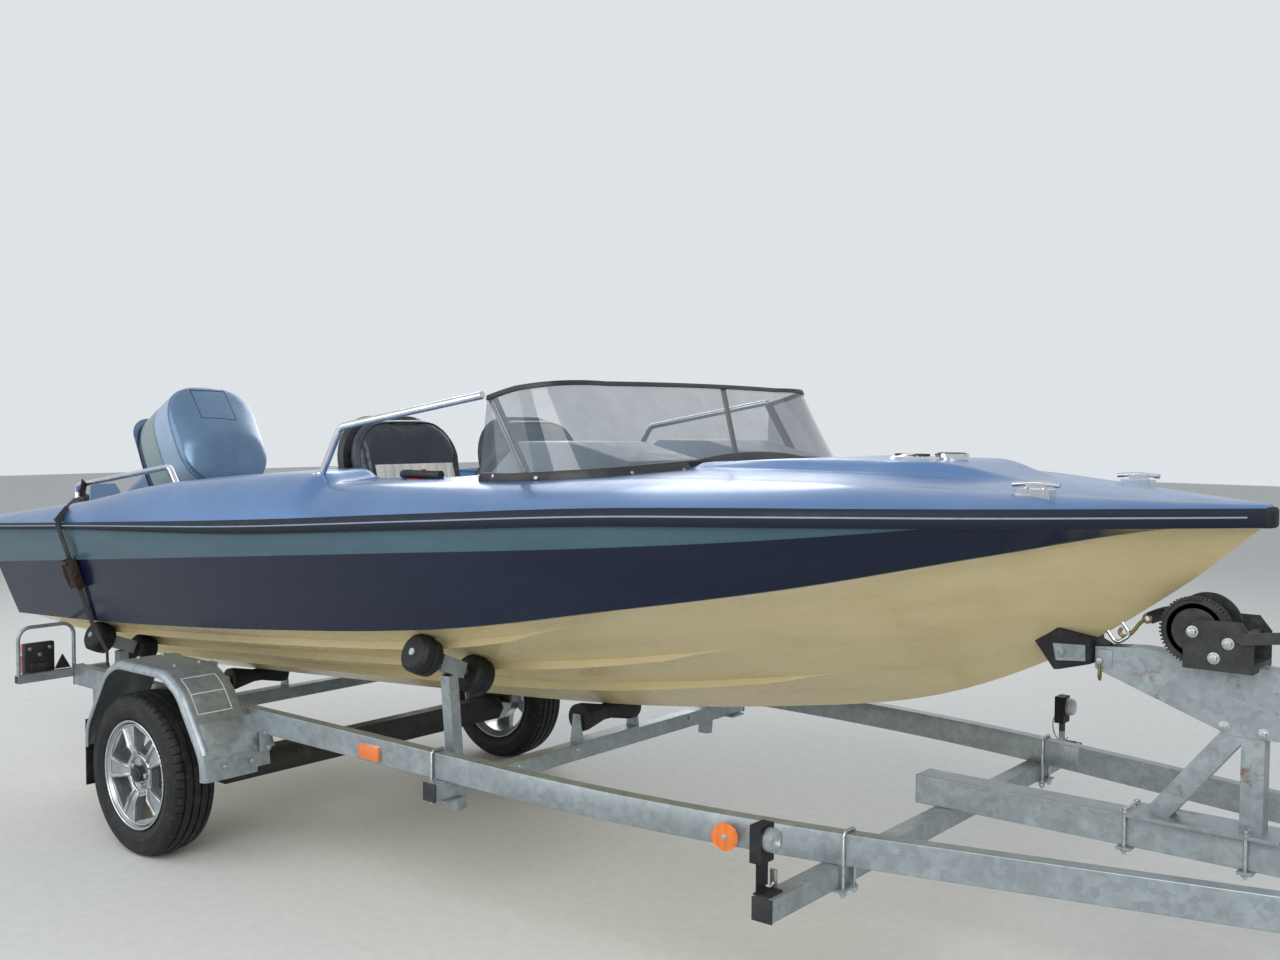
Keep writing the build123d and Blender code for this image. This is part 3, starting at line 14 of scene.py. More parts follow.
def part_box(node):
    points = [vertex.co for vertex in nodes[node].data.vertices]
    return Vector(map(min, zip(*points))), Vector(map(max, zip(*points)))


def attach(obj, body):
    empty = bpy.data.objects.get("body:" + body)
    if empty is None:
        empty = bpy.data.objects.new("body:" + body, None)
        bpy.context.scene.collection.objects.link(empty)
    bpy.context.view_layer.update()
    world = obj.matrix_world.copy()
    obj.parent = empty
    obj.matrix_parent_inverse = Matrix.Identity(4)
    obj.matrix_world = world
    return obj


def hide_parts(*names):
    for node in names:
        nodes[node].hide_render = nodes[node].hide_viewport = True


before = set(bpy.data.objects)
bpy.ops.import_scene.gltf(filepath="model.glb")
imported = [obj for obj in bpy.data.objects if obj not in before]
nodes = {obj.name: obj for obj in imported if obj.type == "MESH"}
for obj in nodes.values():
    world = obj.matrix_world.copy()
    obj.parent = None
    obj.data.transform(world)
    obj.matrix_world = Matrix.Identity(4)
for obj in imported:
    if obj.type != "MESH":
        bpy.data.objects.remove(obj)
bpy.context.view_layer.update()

# %% [markdown]
# All lengths below are in millimetres, as on a boatbuilder's drawing, and they are counted
# from the trailer's wheels: forward, to port and up from the ground. One function turns
# them into the metres of the scene. The wheel's own box says where the axle is.

# %% Places in millimetres
tyre_low, tyre_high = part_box("wheel_left_tyre")
WHEEL_X = (tyre_low.x + tyre_high.x) / 2
MM = 0.001


def at(x, y, z):
    return Vector((WHEEL_X + x * MM, y * MM, z * MM))


print("the wheels stand at x =", round(WHEEL_X, 4), "m")

# %% [markdown]
# The camera stands ahead of the boat on its starboard side, at eye height. Its place and
# its direction were worked out from the wheels, the rails and the line of the keel, so the
# picture has the same perspective. It is set before any piece is made, because every
# later choice is looked at through it.

# %% Camera
CAMERA_PLACE = at(4015.2, -3187.5, 1466.7)
CAMERA_YAW = radians(50.972)
CAMERA_PITCH = radians(2.63)
CAMERA_ROLL = radians(0.338)
CAMERA_SENSOR_MM = 36.0
CAMERA_LENS_MM = 36.67

look = Vector((-cos(CAMERA_YAW) * cos(CAMERA_PITCH), sin(CAMERA_YAW) * cos(CAMERA_PITCH), -sin(CAMERA_PITCH)))
level = Vector((sin(CAMERA_YAW), cos(CAMERA_YAW), 0.0))
upward = level.cross(look)
right = level * cos(CAMERA_ROLL) + upward * sin(CAMERA_ROLL)
upward = upward * cos(CAMERA_ROLL) - level * sin(CAMERA_ROLL)
bpy.ops.object.camera_add(location=CAMERA_PLACE)
camera = bpy.context.object
camera.name = "camera"
camera.matrix_world = Matrix.Translation(CAMERA_PLACE) @ Matrix((right, upward, -look)).transposed().to_4x4()
camera.data.sensor_width = CAMERA_SENSOR_MM
camera.data.lens = CAMERA_LENS_MM
camera.data.clip_end = 200.0
bpy.context.scene.camera = camera
print("camera at", tuple(round(c, 3) for c in camera.location))

# %% [markdown]
# Colours are written as the hex values a paint chart would give, and one function turns
# them to the linear numbers that the renderer works with. One more function adds a node
# with its settings and links, which is all that the materials below need.

# %% Colour and node helpers


def paint(code, alpha=1.0):
    """A hex colour as linear red, green, blue and alpha."""
    values = [int(code[i:i + 2], 16) / 255 for i in (1, 3, 5)]
    linear = [v / 12.92 if v <= 0.04045 else ((v + 0.055) / 1.055) ** 2.4 for v in values]
    return (*linear, alpha)


def add_node(material, kind, inputs=None, **settings):
    """Add one node with its settings; an input is a value or the output that feeds it."""
    node = material.node_tree.nodes.new(kind)
    for name, value in settings.items():
        setattr(node, name, value)
    for key, value in (inputs or {}).items():
        if isinstance(value, bpy.types.NodeSocket):
            material.node_tree.links.new(value, node.inputs[key])
        else:
            node.inputs[key].default_value = value
    return node


def new_material(name, code, roughness, **sockets):
    """A material with the plain values of its shader set, its shader and its Object coordinates."""
    material = bpy.data.materials.new(name)
    material.use_nodes = True
    shader = material.node_tree.nodes["Principled BSDF"]
    shader.inputs["Base Color"].default_value = paint(code)
    shader.inputs["Roughness"].default_value = roughness
    for key, value in sockets.items():
        shader.inputs[key.replace("_", " ").title().replace("Ior", "IOR")].default_value = value
    return material, shader, add_node(material, "ShaderNodeTexCoord").outputs["Object"]


def feed(material, shader, relief=None, **outputs):
    """Link patterns to the shader. Relief is a height, its depth in millimetres and a strength."""
    if relief:
        height, depth_mm, strength = relief
        inputs = {"Height": height, "Distance": depth_mm * MM, "Strength": strength}
        outputs["normal"] = add_node(material, "ShaderNodeBump", inputs).outputs[0]
    for key, output in outputs.items():
        material.node_tree.links.new(output, shader.inputs[key.replace("_", " ").title()])


def blend_colours(material, share, first, second):
    """A colour between two others by a share from 0 to 1."""
    mix = add_node(material, "ShaderNodeMix", data_type="RGBA")
    for index, colour in ((6, first), (7, second)):
        if isinstance(colour, bpy.types.NodeSocket):
            material.node_tree.links.new(colour, mix.inputs[index])
        else:
            mix.inputs[index].default_value = colour
    material.node_tree.links.new(share, mix.inputs[0])
    return mix.outputs[2]


def spread(material, value, low, high, to_low=0.0, to_high=1.0):
    """Stretch a value from one range to another, stopping at its ends."""
    inputs = {"Value": value, 1: low, 2: high, 3: to_low, 4: to_high}
    return add_node(material, "ShaderNodeMapRange", inputs).outputs[0]


def two_tone(material, pattern, low, high, first, second):
    """Two paints, shared out by a pattern between two of its values."""
    return blend_colours(material, spread(material, pattern, low, high), paint(first), paint(second))


def grain(material, where, size_mm, detail=3.0, roughness=0.55):
    """Noise whose blotches are about size_mm across."""
    inputs = {"Vector": where, "Scale": 1.0 / (size_mm * MM), "Detail": detail, "Roughness": roughness}
    return add_node(material, "ShaderNodeTexNoise", inputs).outputs["Fac"]


# %% [markdown]
# A handful of modelling helpers follows. They do what a hand would do in the viewport: add
# a primitive, move its corners, extrude, bevel, and bake the place into the mesh.

# %% Modelling helpers


def let_go():
    bpy.ops.object.select_all(action="DESELECT")


def hold(*objects):
    """Select these objects only, with the first one active."""
    let_go()
    for o in objects:
        o.select_set(True)
    bpy.context.view_layer.objects.active = objects[0]


def in_edit(obj, step, **options):
    """Run one edit-mode operator on the whole mesh."""
    hold(obj)
    bpy.ops.object.mode_set(mode="EDIT")
    bpy.ops.mesh.select_all(action="SELECT")
    step(**options)
    bpy.ops.object.mode_set(mode="OBJECT")
    return obj


def outward(obj):
    """Merge doubles and turn every face outwards."""
    in_edit(obj, bpy.ops.mesh.remove_doubles, threshold=0.00005)
    return in_edit(obj, bpy.ops.mesh.normals_make_consistent, inside=False)


def use_modifier(obj, kind, **settings):
    """Add a modifier and apply it."""
    hold(obj)
    modifier = obj.modifiers.new(kind.title(), kind)
    for name, value in settings.items():
        setattr(modifier, name, value)
    bpy.ops.object.modifier_apply(modifier=modifier.name)
    return obj


def round_edges(obj, width_mm, segments=2, angle=35.0):
    return use_modifier(obj, "BEVEL", width=width_mm * MM, segments=segments,
                        limit_method="ANGLE", angle_limit=radians(angle))


def cut_away(obj, *cutters):
    """Subtract each cutter, then delete it."""
    for cutter in cutters:
        use_modifier(obj, "BOOLEAN", object=cutter, operation="DIFFERENCE", solver="EXACT")
        bpy.data.objects.remove(cutter)
    return obj


def plate(name, outline, along):
    """A flat plate: an outline of points, filled and pushed out along a vector in metres."""
    let_go()
    bpy.ops.mesh.primitive_circle_add(vertices=len(outline), fill_type="NGON", radius=1.0)
    obj = bpy.context.object
    obj.name = name
    for vertex, point in zip(obj.data.vertices, outline):
        vertex.co = point
    in_edit(obj, bpy.ops.mesh.extrude_region_move, TRANSFORM_OT_translate={"value": along})
    return outward(obj)


def grid(name, along, across):
    """A flat grid to lay over something, and its corners with their shares of both ways."""
    let_go()
    bpy.ops.mesh.primitive_grid_add(x_subdivisions=along, y_subdivisions=across, size=1.0)
    obj = bpy.context.object
    obj.name = name
    return obj, [(vertex, vertex.co.x + 0.5, vertex.co.y + 0.5) for vertex in obj.data.vertices]


def side_outline(y, points):
    return [at(x, y, z) for x, z in points]


def plan_outline(z, points):
    return [at(x, y, z) for x, y in points]


def settled(name):
    """The primitive that was just added, named and with its place baked into its mesh."""
    obj = bpy.context.object
    obj.name = name
    bpy.ops.object.transform_apply(location=True, rotation=True, scale=True)
    return obj


def slab(name, x, y, z, soften=0.0):
    """A block between two limits on each axis, with softened edges."""
    low, high = at(x[0], y[0], z[0]), at(x[1], y[1], z[1])
    let_go()
    bpy.ops.mesh.primitive_cube_add(size=1.0, location=(low + high) / 2, scale=high - low)
    obj = settled(name)
    return round_edges(obj, soften) if soften else obj


def peg(name, start, end, radius_mm, sides=24, soften=0.0):
    """A round bar from one point to another, in metres."""
    run = end - start
    turn = Vector((0, 0, 1)).rotation_difference(run)
    let_go()
    bpy.ops.mesh.primitive_cylinder_add(vertices=sides, radius=radius_mm * MM, depth=run.length,
                                        location=(start + end) / 2, rotation=turn.to_euler())
    obj = settled(name)
    return round_edges(obj, soften, 2, 50.0) if soften else obj


def tube_along(name, points, radius_mm, smooth=True, ends=True, resolution=8):
    """A round tube on a smooth line through points in metres, turned to a mesh."""
    curve = bpy.data.curves.new(name, "CURVE")
    curve.dimensions = "3D"
    curve.bevel_depth = radius_mm * MM
    curve.bevel_resolution = 4
    curve.use_fill_caps = ends
    spline = curve.splines.new("BEZIER" if smooth else "POLY")
    if smooth:
        spline.bezier_points.add(len(points) - 1)
        for knot, point in zip(spline.bezier_points, points):
            knot.co = point
            knot.handle_left_type = knot.handle_right_type = "AUTO"
    else:
        spline.points.add(len(points) - 1)
        for knot, point in zip(spline.points, points):
            knot.co = (*point, 1.0)
    spline.resolution_u = resolution
    obj = bpy.data.objects.new(name, curve)
    bpy.context.scene.collection.objects.link(obj)
    hold(obj)
    bpy.ops.object.convert(target="MESH")
    return outward(obj)


def spun(name, centre, axis, profile, steps=48):
    """A turned piece: a profile of (along the axis, radius) in millimetres, spun once round."""
    axis = Vector(axis).normalized()
    side = axis.orthogonal().normalized()
    mesh = bpy.data.meshes.new(name)
    mesh.from_pydata([centre + axis * a * MM + side * r * MM for a, r in profile],
                     [(i, i + 1) for i in range(len(profile) - 1)], [])
    obj = bpy.data.objects.new(name, mesh)
    bpy.context.scene.collection.objects.link(obj)
    in_edit(obj, bpy.ops.mesh.spin, steps=steps, angle=2 * pi, center=centre, axis=axis)
    return outward(obj)


def join(name, *objects):
    hold(*objects)
    bpy.ops.object.join()
    objects[0].name = name
    return objects[0]


def twin(obj, name):
    """The same piece on the other side of the centreline."""
    copy = obj.copy()
    copy.data = obj.data.copy()
    copy.name = name
    bpy.context.scene.collection.objects.link(copy)
    for vertex in copy.data.vertices:
        vertex.co.y = -vertex.co.y
    return outward(copy)


def finish(obj, body, material, angle=35.0):
    """Smooth the piece, give it its material and let it ride on its body."""
    hold(obj)
    bpy.ops.object.shade_smooth_by_angle(angle=radians(angle))
    obj.data.materials.clear()
    obj.data.materials.append(material)
    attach(obj, body)
    return obj


BOAT = "boat_on_trailer"


def gather(name, pieces, material, angle=40.0):
    """Join small pieces under one name and let them ride on the boat."""
    return finish(join(name, *pieces), BOAT, material, angle)


def both_sides(left, material, angle):
    """Finish a left-hand piece and its twin on the right."""
    finish(left, BOAT, material, angle)
    return finish(twin(left, left.name.replace("left", "right")), BOAT, material, angle)


def outboard(side, near, far):
    """Limits across the boat for a piece on one side."""
    return sorted((side * near, side * far))


# %% [markdown]
# A studio needs little: a pale floor, a pale background for the camera and for gloss, and
# three broad soft lamps. The key light comes from above the camera's left, as open sky
# would, and the fill keeps the dark side of the hull readable.

# %% Floor, background and lamps
FLOOR_SIZE = 60.0
let_go()
bpy.ops.mesh.primitive_plane_add(size=FLOOR_SIZE)
floor = bpy.context.object
floor.name = "studio_floor"
floor_paint, floor_shader, where = new_material("matt studio floor", "#d9dad8", 0.9)
speckle = grain(floor_paint, where, 40.0)
feed(floor_paint, floor_shader,
     base_color=two_tone(floor_paint, speckle, 0.3, 0.7, "#d5d6d4", "#dcdddb"))
floor.data.materials.append(floor_paint)

world = bpy.data.worlds.new("pale studio")
bpy.context.scene.world = world
world.use_nodes = True
LIT_STRENGTH, SEEN_STRENGTH = 0.55, 0.86
rays = add_node(world, "ShaderNodeLightPath").outputs
seen = add_node(world, "ShaderNodeMath", {0: rays["Is Camera Ray"], 1: rays["Is Transmission Ray"]},
                operation="MAXIMUM").outputs[0]
seen_or_mirrored = add_node(world, "ShaderNodeMath", {0: seen, 1: rays["Is Glossy Ray"]},
                            operation="MAXIMUM").outputs[0]
strength = spread(world, seen_or_mirrored, 0.0, 1.0, LIT_STRENGTH, SEEN_STRENGTH)
background = world.node_tree.nodes["Background"]
background.inputs["Color"].default_value = paint("#eef3f8")
world.node_tree.links.new(strength, background.inputs["Strength"])

LAMPS = (
    ("key light", at(5200, -5200, 4600), 5.0, 330.0),
    ("fill light", at(-2500, -6500, 3200), 6.0, 170.0),
    ("back light", at(-3500, 5200, 4200), 5.0, 200.0),
)
for name, place, size, power in LAMPS:
    aim = (at(1200, 0, 700) - place).to_track_quat("-Z", "Y").to_euler()
    bpy.ops.object.light_add(type="AREA", location=place, rotation=aim)
    lamp = bpy.context.object
    lamp.name = name
    lamp.data.shape = "DISK"
    lamp.data.size = size
    lamp.data.energy = power
bpy.context.scene.view_settings.view_transform = "Standard"

# %% [markdown]
# ## Gelcoat
# The boat was laid up in moulds, and its colour is gelcoat: a hard, glossy polyester. The
# deck has fine metal flake in it under a clear layer, so it is part metallic with a clear
# coat. Faint waviness from the mould, small scratches and road dust keep the gloss from
# looking like plastic.

# %% Gelcoat materials
DECK_BLUE = "#5a7fae"
DECK_BLUE_DEEP = "#4d72a2"


def deck_gelcoat():
    """Metal flake under a clear layer: fine sparks in a soft, deep shine."""
    material, shader, where = new_material("metallic blue gelcoat", DECK_BLUE, 0.26, metallic=0.45,
                                           coat_weight=0.45, coat_roughness=0.14, ior=1.5)
    flake = grain(material, where, 1.6, 2.0, 0.7)
    cloud = grain(material, where, 420.0, 2.0)
    dust = grain(material, where, 90.0, 5.0, 0.7)
    tone = two_tone(material, cloud, 0.35, 0.65, DECK_BLUE, DECK_BLUE_DEEP)
    spark = blend_colours(material, spread(material, flake, 0.58, 0.75, 0.0, 0.14), tone, paint("#9fbfe2"))
    feed(material, shader, base_color=spark, roughness=spread(material, dust, 0.3, 0.8, 0.3, 0.46),
         relief=(cloud, 0.6, 0.05))
    return material


# Height of the two paint lines on the topsides, in millimetres from the ground
CHINE_LINE = ((-1350, 675), (-408, 727), (600, 811), (1400, 901), (2000, 1007), (2450, 1091),
              (2800, 1169), (3080, 1227), (3290, 1252))
STRIPE_LINE = ((-1350, 880), (306, 1021), (1197, 1096), (2061, 1169), (2669, 1229), (2885, 1254),
               (3290, 1290))
LINE_FROM_X, LINE_TO_X = -1400.0, 3300.0
LINE_LOW_Z, LINE_HIGH_Z = 600.0, 1300.0


def height_of_line(material, along, line):
    """The height of a paint line at each place along the boat, in metres."""
    share = spread(material, along, at(LINE_FROM_X, 0, 0).x, at(LINE_TO_X, 0, 0).x)
    curve = add_node(material, "ShaderNodeFloatCurve", {"Value": share})
    knots = curve.mapping.curves[0].points
    places = [((x - LINE_FROM_X) / (LINE_TO_X - LINE_FROM_X), (z - LINE_LOW_Z) / (LINE_HIGH_Z - LINE_LOW_Z))
              for x, z in line]
    knots[0].location, knots[-1].location = places[0], places[-1]
    for place in places[1:-1]:
        knots.new(*place)
    curve.mapping.update()
    return spread(material, curve.outputs[0], 0.0, 1.0, LINE_LOW_Z * MM, LINE_HIGH_Z * MM)


def hull_gelcoat():
    """Cream below the chine, navy above it and a grey-teal band under the rub rail."""
    material, shader, where = new_material("painted hull gelcoat", "#0c1730", 0.24, coat_weight=0.12,
                                           coat_roughness=0.1, ior=1.45, specular_ior_level=0.28)
    parts = add_node(material, "ShaderNodeSeparateXYZ", {"Vector": where})
    along, height = parts.outputs["X"], parts.outputs["Z"]
    edges = []
    for line in (CHINE_LINE, STRIPE_LINE):
        above = add_node(material, "ShaderNodeMath", {0: height, 1: height_of_line(material, along, line)},
                         operation="SUBTRACT")
        edges.append(spread(material, above.outputs[0], -0.0015, 0.0005))
    drawn_out = add_node(material, "ShaderNodeMapping", {"Vector": where, "Scale": (0.4, 1, 2.5)})
    grime = grain(material, drawn_out.outputs[0], 160.0, 5.0, 0.65)
    cream = two_tone(material, grime, 0.35, 0.7, "#d2c295", "#c8b88b")
    scum = spread(material, grain(material, where, 22.0, 6.0, 0.7), 0.6, 0.85, 0.0, 0.12)
    cream = blend_colours(material, scum, cream, paint("#a59a73"))
    navy = two_tone(material, grime, 0.4, 0.75, "#061129", "#0b1831")
    teal = two_tone(material, grime, 0.4, 0.75, "#3b5663", "#44606c")
    sides = blend_colours(material, edges[1], navy, teal)
    feed(material, shader, base_color=blend_colours(material, edges[0], cream, sides),
         roughness=spread(material, grime, 0.3, 0.8, 0.16, 0.36),
         relief=(grain(material, where, 350.0, 2.0), 1.0, 0.04))
    return material


def rubber(name="moulded black rubber", code="#17181a", wear="#3a3b3c"):
    """Moulded rubber: dull and nearly black, greyed by dust."""
    material, shader, where = new_material(name, code, 0.62, specular_ior_level=0.35)
    dust = grain(material, where, 30.0, 6.0, 0.7)
    fine = grain(material, where, 1.8, 2.0)
    feed(material, shader, base_color=two_tone(material, dust, 0.5, 0.85, code, wear),
         roughness=spread(material, dust, 0.3, 0.8, 0.5, 0.78), relief=(fine, 0.25, 0.5))
    return material


DECK_PAINT = deck_gelcoat()
HULL_PAINT = hull_gelcoat()
BLACK_RUBBER = rubber()
NAVY_RUBBER = rubber("navy rubber rub rail", "#0d1626", "#1d2938")
# A pale cord for the rub rail: a painted highlight line along the rounded rail.
RAIL_HIGHLIGHT_CORD = rubber("pale rub rail highlight cord", "#8396a6", "#6f808e")

# %% [markdown]
# ## Hull and deck
# A hull is drawn as a set of stations, which are cross-sections at chosen places along the
# keel. The solid model joins them with straight runs, so here the same stations are joined
# by smooth curves instead. A grid is laid over one half, its rows are put on the section
# at each place, and a mirror makes the other half.

# %% Stations
# Each row: place along the boat, keel, chine out and up, gunwale out and up, deck shoulder
# out and up, and the deck on the centreline
STATIONS = (
    (-1350, 378, 715, 675, 800, 1037, 655, 1070, 1088),
    (-400, 437, 758, 729, 848, 1095, 690, 1180, 1205),
    (600, 499, 798, 812, 875, 1158, 690, 1262, 1290),
    (1400, 560, 820, 902, 880, 1217, 680, 1297, 1325),
    (2000, 642, 795, 1008, 870, 1259, 620, 1322, 1340),
    (2450, 735, 695, 1092, 785, 1276, 540, 1325, 1340),
    (2800, 888, 470, 1170, 520, 1277, 340, 1308, 1320),
    (3080, 1080, 165, 1228, 235, 1277, 150, 1293, 1298),
    (3270, 1246, 6, 1252, 28, 1277, 16, 1284, 1286),
)
KEEL, CHINE_Y, CHINE_Z, RAIL_Y, RAIL_Z, DECK_Y, DECK_Z, MIDDLE_Z = range(1, 9)
LAND_HEIGHT = 44.0
CHINE_FLAT = 52.0
CHINE_DROP = 10.0
CHINE_FULL_FROM = 400.0
HUMP_HALF, HUMP_TOP_Z = 320.0, 1352.0
SHOULDER_ROUNDNESS = 2.6
COAMING_RISE = 33.0
TRANSOM_RAKE = 0.32
TRANSOM_FOOT = (-1080.0, 394.0)
TRANSOM_WALL = 50.0
TRANSOM_TOP_Z = 930.0
WELL_FRONT_X, WELL_HALF, WELL_FLOOR_Z = -590.0, 425.0, 800.0
TUB_REAR_X, TUB_SHOULDER_X, TUB_FRONT_X = -290.0, 1150.0, 1600.0
TUB_HALF, TUB_FRONT_HALF = 580.0, 440.0
TUB_WALL = 6.0
FLOOR_Z, FLOOR_SLOPE = 748.0, 0.06
DASH_X = 1235.0


def slope_at(index, column):
    low, high = STATIONS[max(index - 1, 0)], STATIONS[min(index + 1, len(STATIONS) - 1)]
    return (high[column] - low[column]) / (high[0] - low[0])


def measure(x, column):
    """One measure of the boat at any place along it, on a smooth curve."""
    for index, (low, high) in enumerate(zip(STATIONS, STATIONS[1:])):
        if x <= high[0]:
            break
    run = high[0] - low[0]
    t = min(1.0, max(0.0, (x - low[0]) / run))
    start, end = slope_at(index, column) * run, slope_at(index + 1, column) * run
    s = 1.0 - t
    return (low[column] * s * s * (1 + 2 * t) + start * t * s * s
            + high[column] * t * t * (3 - 2 * t) - end * t * t * s)


def ease(x, low, high):
    share = min(1.0, max(0.0, (x - low) / (high - low)))
    return share * share * (3 - 2 * share)


def runs(points, counts):
    """Points with each straight run between them divided evenly."""
    line = [points[0]]
    for (a, b), count in zip(zip(points, points[1:]), counts):
        line += [(a[0] + (b[0] - a[0]) * k / count, a[1] + (b[1] - a[1]) * k / count)
                 for k in range(1, count + 1)]
    return line


def sheer_z(x):
    return measure(x, RAIL_Z) - LAND_HEIGHT / 2


def chine_share(x):
    """How much of the chine flat there is: it fades where the hull is narrow, at the bow."""
    return min(1.0, measure(x, CHINE_Y) / CHINE_FULL_FROM)


def hull_line(x):
    """Half section of the hull: keel, bottom, chine flat, side, and back in at the sheer."""
    share = chine_share(x)
    land = LAND_HEIGHT * min(1.0, measure(x, RAIL_Y) / 240.0 + 0.25)
    chine = (measure(x, CHINE_Y), measure(x, CHINE_Z))
    rail_y, rail_z = measure(x, RAIL_Y), measure(x, RAIL_Z)
    points = [(0.0, measure(x, KEEL)), (chine[0] - CHINE_FLAT * share, chine[1] - CHINE_DROP * share), chine,
              (rail_y, rail_z - land), (rail_y, rail_z - land / 2), (0.0, rail_z - land / 2)]
    return runs(points, (8, 1, 6, 1, 1))


def deck_height(x, y):
    """The deck's height inboard of its shoulder: crown, raised coaming and foredeck hump."""
    reach = measure(x, DECK_Y)
    rise = COAMING_RISE * ease(x, -700, 0) * (1 - ease(x, 790, 880))
    z = measure(x, DECK_Z) + (measure(x, MIDDLE_Z) - measure(x, DECK_Z)) * (1 - (y / reach) ** 2) + rise
    half = HUMP_HALF - 50.0 * ease(x, 1860, 2450) - 150.0 * ease(x, 2450, 2790)
    top = HUMP_TOP_Z + 16.0 * ease(x, 1860, 2200) - 50.0 * ease(x, 2520, 2800)
    inside = (1 - ease(abs(y), half - 30, half + 18)) * ease(x, 1850, 1900) * (1 - ease(x, 2740, 2800))
    return z + max(0.0, top - z) * inside


def deck_line(x):
    """Half section of the deck: along the sheer, up the land, round the shoulder, over the crown."""
    rail_y, rail_z = measure(x, RAIL_Y), measure(x, RAIL_Z)
    deck_y = measure(x, DECK_Y)
    crest = deck_height(x, deck_y)
    points = [(0.0, sheer_z(x)), (rail_y, sheer_z(x)), (rail_y, rail_z)]
    for step in range(1, 9):
        along = step / 8
        up = 1 - (1 - along) ** SHOULDER_ROUNDNESS
        points.append((rail_y - (rail_y - deck_y) * along, rail_z + (crest - rail_z) * up))
    for step in range(1, 31):
        y = deck_y * (1 - step / 30)
        points.append((y, deck_height(x, y)))
    return points


# %% [markdown]
# The same grid is used for hull, deck and rub rail. Its open ends are closed, and the
# normals are turned outwards after the mirror, because a mirror turns half of them round.

# %% Lay a skin over the stations


def open_skin(name, places, rows):
    """A strip through one row of (y, z) at each place, with its two ends left open."""
    across, along = len(rows[0]) - 1, len(rows) - 1
    obj, corners = grid(name, along, across)
    for vertex, u, v in corners:
        i = round(u * along)
        vertex.co = at(places[i], *rows[i][round(v * across)])
    return obj


def lay_skin(name, places, line):
    """A closed, mirrored body whose half sections are given by line(x)."""
    obj = open_skin(name, places, [line(x) for x in places])
    use_modifier(obj, "MIRROR", use_axis=(False, True, False), merge_threshold=0.0004)
    in_edit(obj, bpy.ops.mesh.remove_doubles, threshold=0.0002)
    hold(obj)
    bpy.ops.object.mode_set(mode="EDIT")
    bpy.ops.mesh.select_all(action="DESELECT")
    bpy.ops.mesh.select_non_manifold()
    bpy.ops.mesh.edge_face_add()
    bpy.ops.object.mode_set(mode="OBJECT")
    return outward(obj)


def spaced(low, high, step):
    count = round((high - low) / step)
    return [low + (high - low) * k / count for k in range(count + 1)]


def behind_transom():
    """All the space behind the raked transom."""
    foot_x, foot_z = TRANSOM_FOOT
    points = [(foot_x - TRANSOM_RAKE * (z - foot_z), z) for z in (300.0, 1300.0)]
    points += [(-1600.0, 1300.0), (-1600.0, 300.0)]
    return plate("aft_cutter", side_outline(-1100, points), (0, 2.2, 0))


def engine_well():
    foot_x, foot_z = TRANSOM_FOOT
    points = [(foot_x - TRANSOM_RAKE * (z - foot_z) + TRANSOM_WALL, z) for z in (WELL_FLOOR_Z, TRANSOM_TOP_Z)]
    points += [(-1500.0, TRANSOM_TOP_Z), (-1500.0, 1400.0), (WELL_FRONT_X, 1400.0),
               (WELL_FRONT_X, WELL_FLOOR_Z + 30.0)]
    return plate("well_cutter", side_outline(-WELL_HALF, points), (0, 2 * WELL_HALF * MM, 0))


def cockpit_space(grow):
    """The cockpit from its sloping floor up, as wide as the liner's outside plus grow."""
    half, narrow = TUB_HALF + grow, TUB_FRONT_HALF + grow
    rear, front = TUB_REAR_X - grow, TUB_FRONT_X + grow
    outline = [(rear, -half), (TUB_SHOULDER_X, -half), (front, -narrow),
               (front, narrow), (TUB_SHOULDER_X, half), (rear, half)]
    space = plate("tub_cutter", plan_outline(0, outline), (0, 0, 1.5))
    for vertex in space.data.vertices:
        if vertex.co.z < 0.5:
            x = (vertex.co.x - WHEEL_X) / MM
            vertex.co.z = (FLOOR_Z - grow + FLOOR_SLOPE * x) * MM
    return space


# %% Hull
hull = lay_skin("hull_shell", spaced(-1350, 2100, 60) + spaced(2140, 3270, 40), hull_line)
cut_away(hull, behind_transom(), engine_well(), cockpit_space(TUB_WALL))
finish(hull, BOAT, HULL_PAINT, 25.0)
print("hull faces:", len(hull.data.polygons))

# %% [markdown]
# Spray strakes run along the bottom. They are sharp-edged strips that throw water off the
# hull, and each one fades to nothing at its front tip. Each is a row of sections laid on
# the bottom.

# %% Spray strakes
STRAKE_STEPS = 20
STRAKE_FADE = 260.0
STRAKE_DEPTH = 4.0
# Each strake from stern to tip: place along the boat, outer edge and width
STRAKES = (
    ((-1050, 620, 42), (0, 640, 42), (1200, 672, 42), (1800, 716, 10)),
    ((-1050, 455, 44), (0, 465, 44), (1500, 478, 44), (2140, 450, 10)),
    ((-1050, 250, 44), (0, 262, 44), (1600, 262, 44), (2330, 222, 10)),
)


def bottom_z(x, y):
    inner_y = measure(x, CHINE_Y) - CHINE_FLAT * chine_share(x)
    inner_z = measure(x, CHINE_Z) - CHINE_DROP
    return measure(x, KEEL) + (inner_z - measure(x, KEEL)) * y / inner_y


def strake_strip(name, rows):
    """One strake: its underside is level across and its outer edge is square."""
    places, sections = [], []
    for (x0, y0, w0), (x1, y1, w1) in zip(rows, rows[1:]):
        for k in range(STRAKE_STEPS):
            t = k / STRAKE_STEPS
            places.append(x0 + (x1 - x0) * t)
            fade = 1 - ease(places[-1], rows[-1][0] - STRAKE_FADE, rows[-1][0])
            sections.append((y0 + (y1 - y0) * t, max(4.0, (w0 + (w1 - w0) * t) * (0.25 + 0.75 * fade)), fade))
    line = []
    for x, (y, width, fade) in zip(places, sections):
        low = bottom_z(x, y - width) - 1.0 - STRAKE_DEPTH * fade
        edge = bottom_z(x, y) - (bottom_z(x, y) - low) * fade
        line.append([(y - width, low + 3.0), (y - width, low), (y, edge - 0.5), (y, bottom_z(x, y) + 4.0)])
    return open_skin(name, places, line)


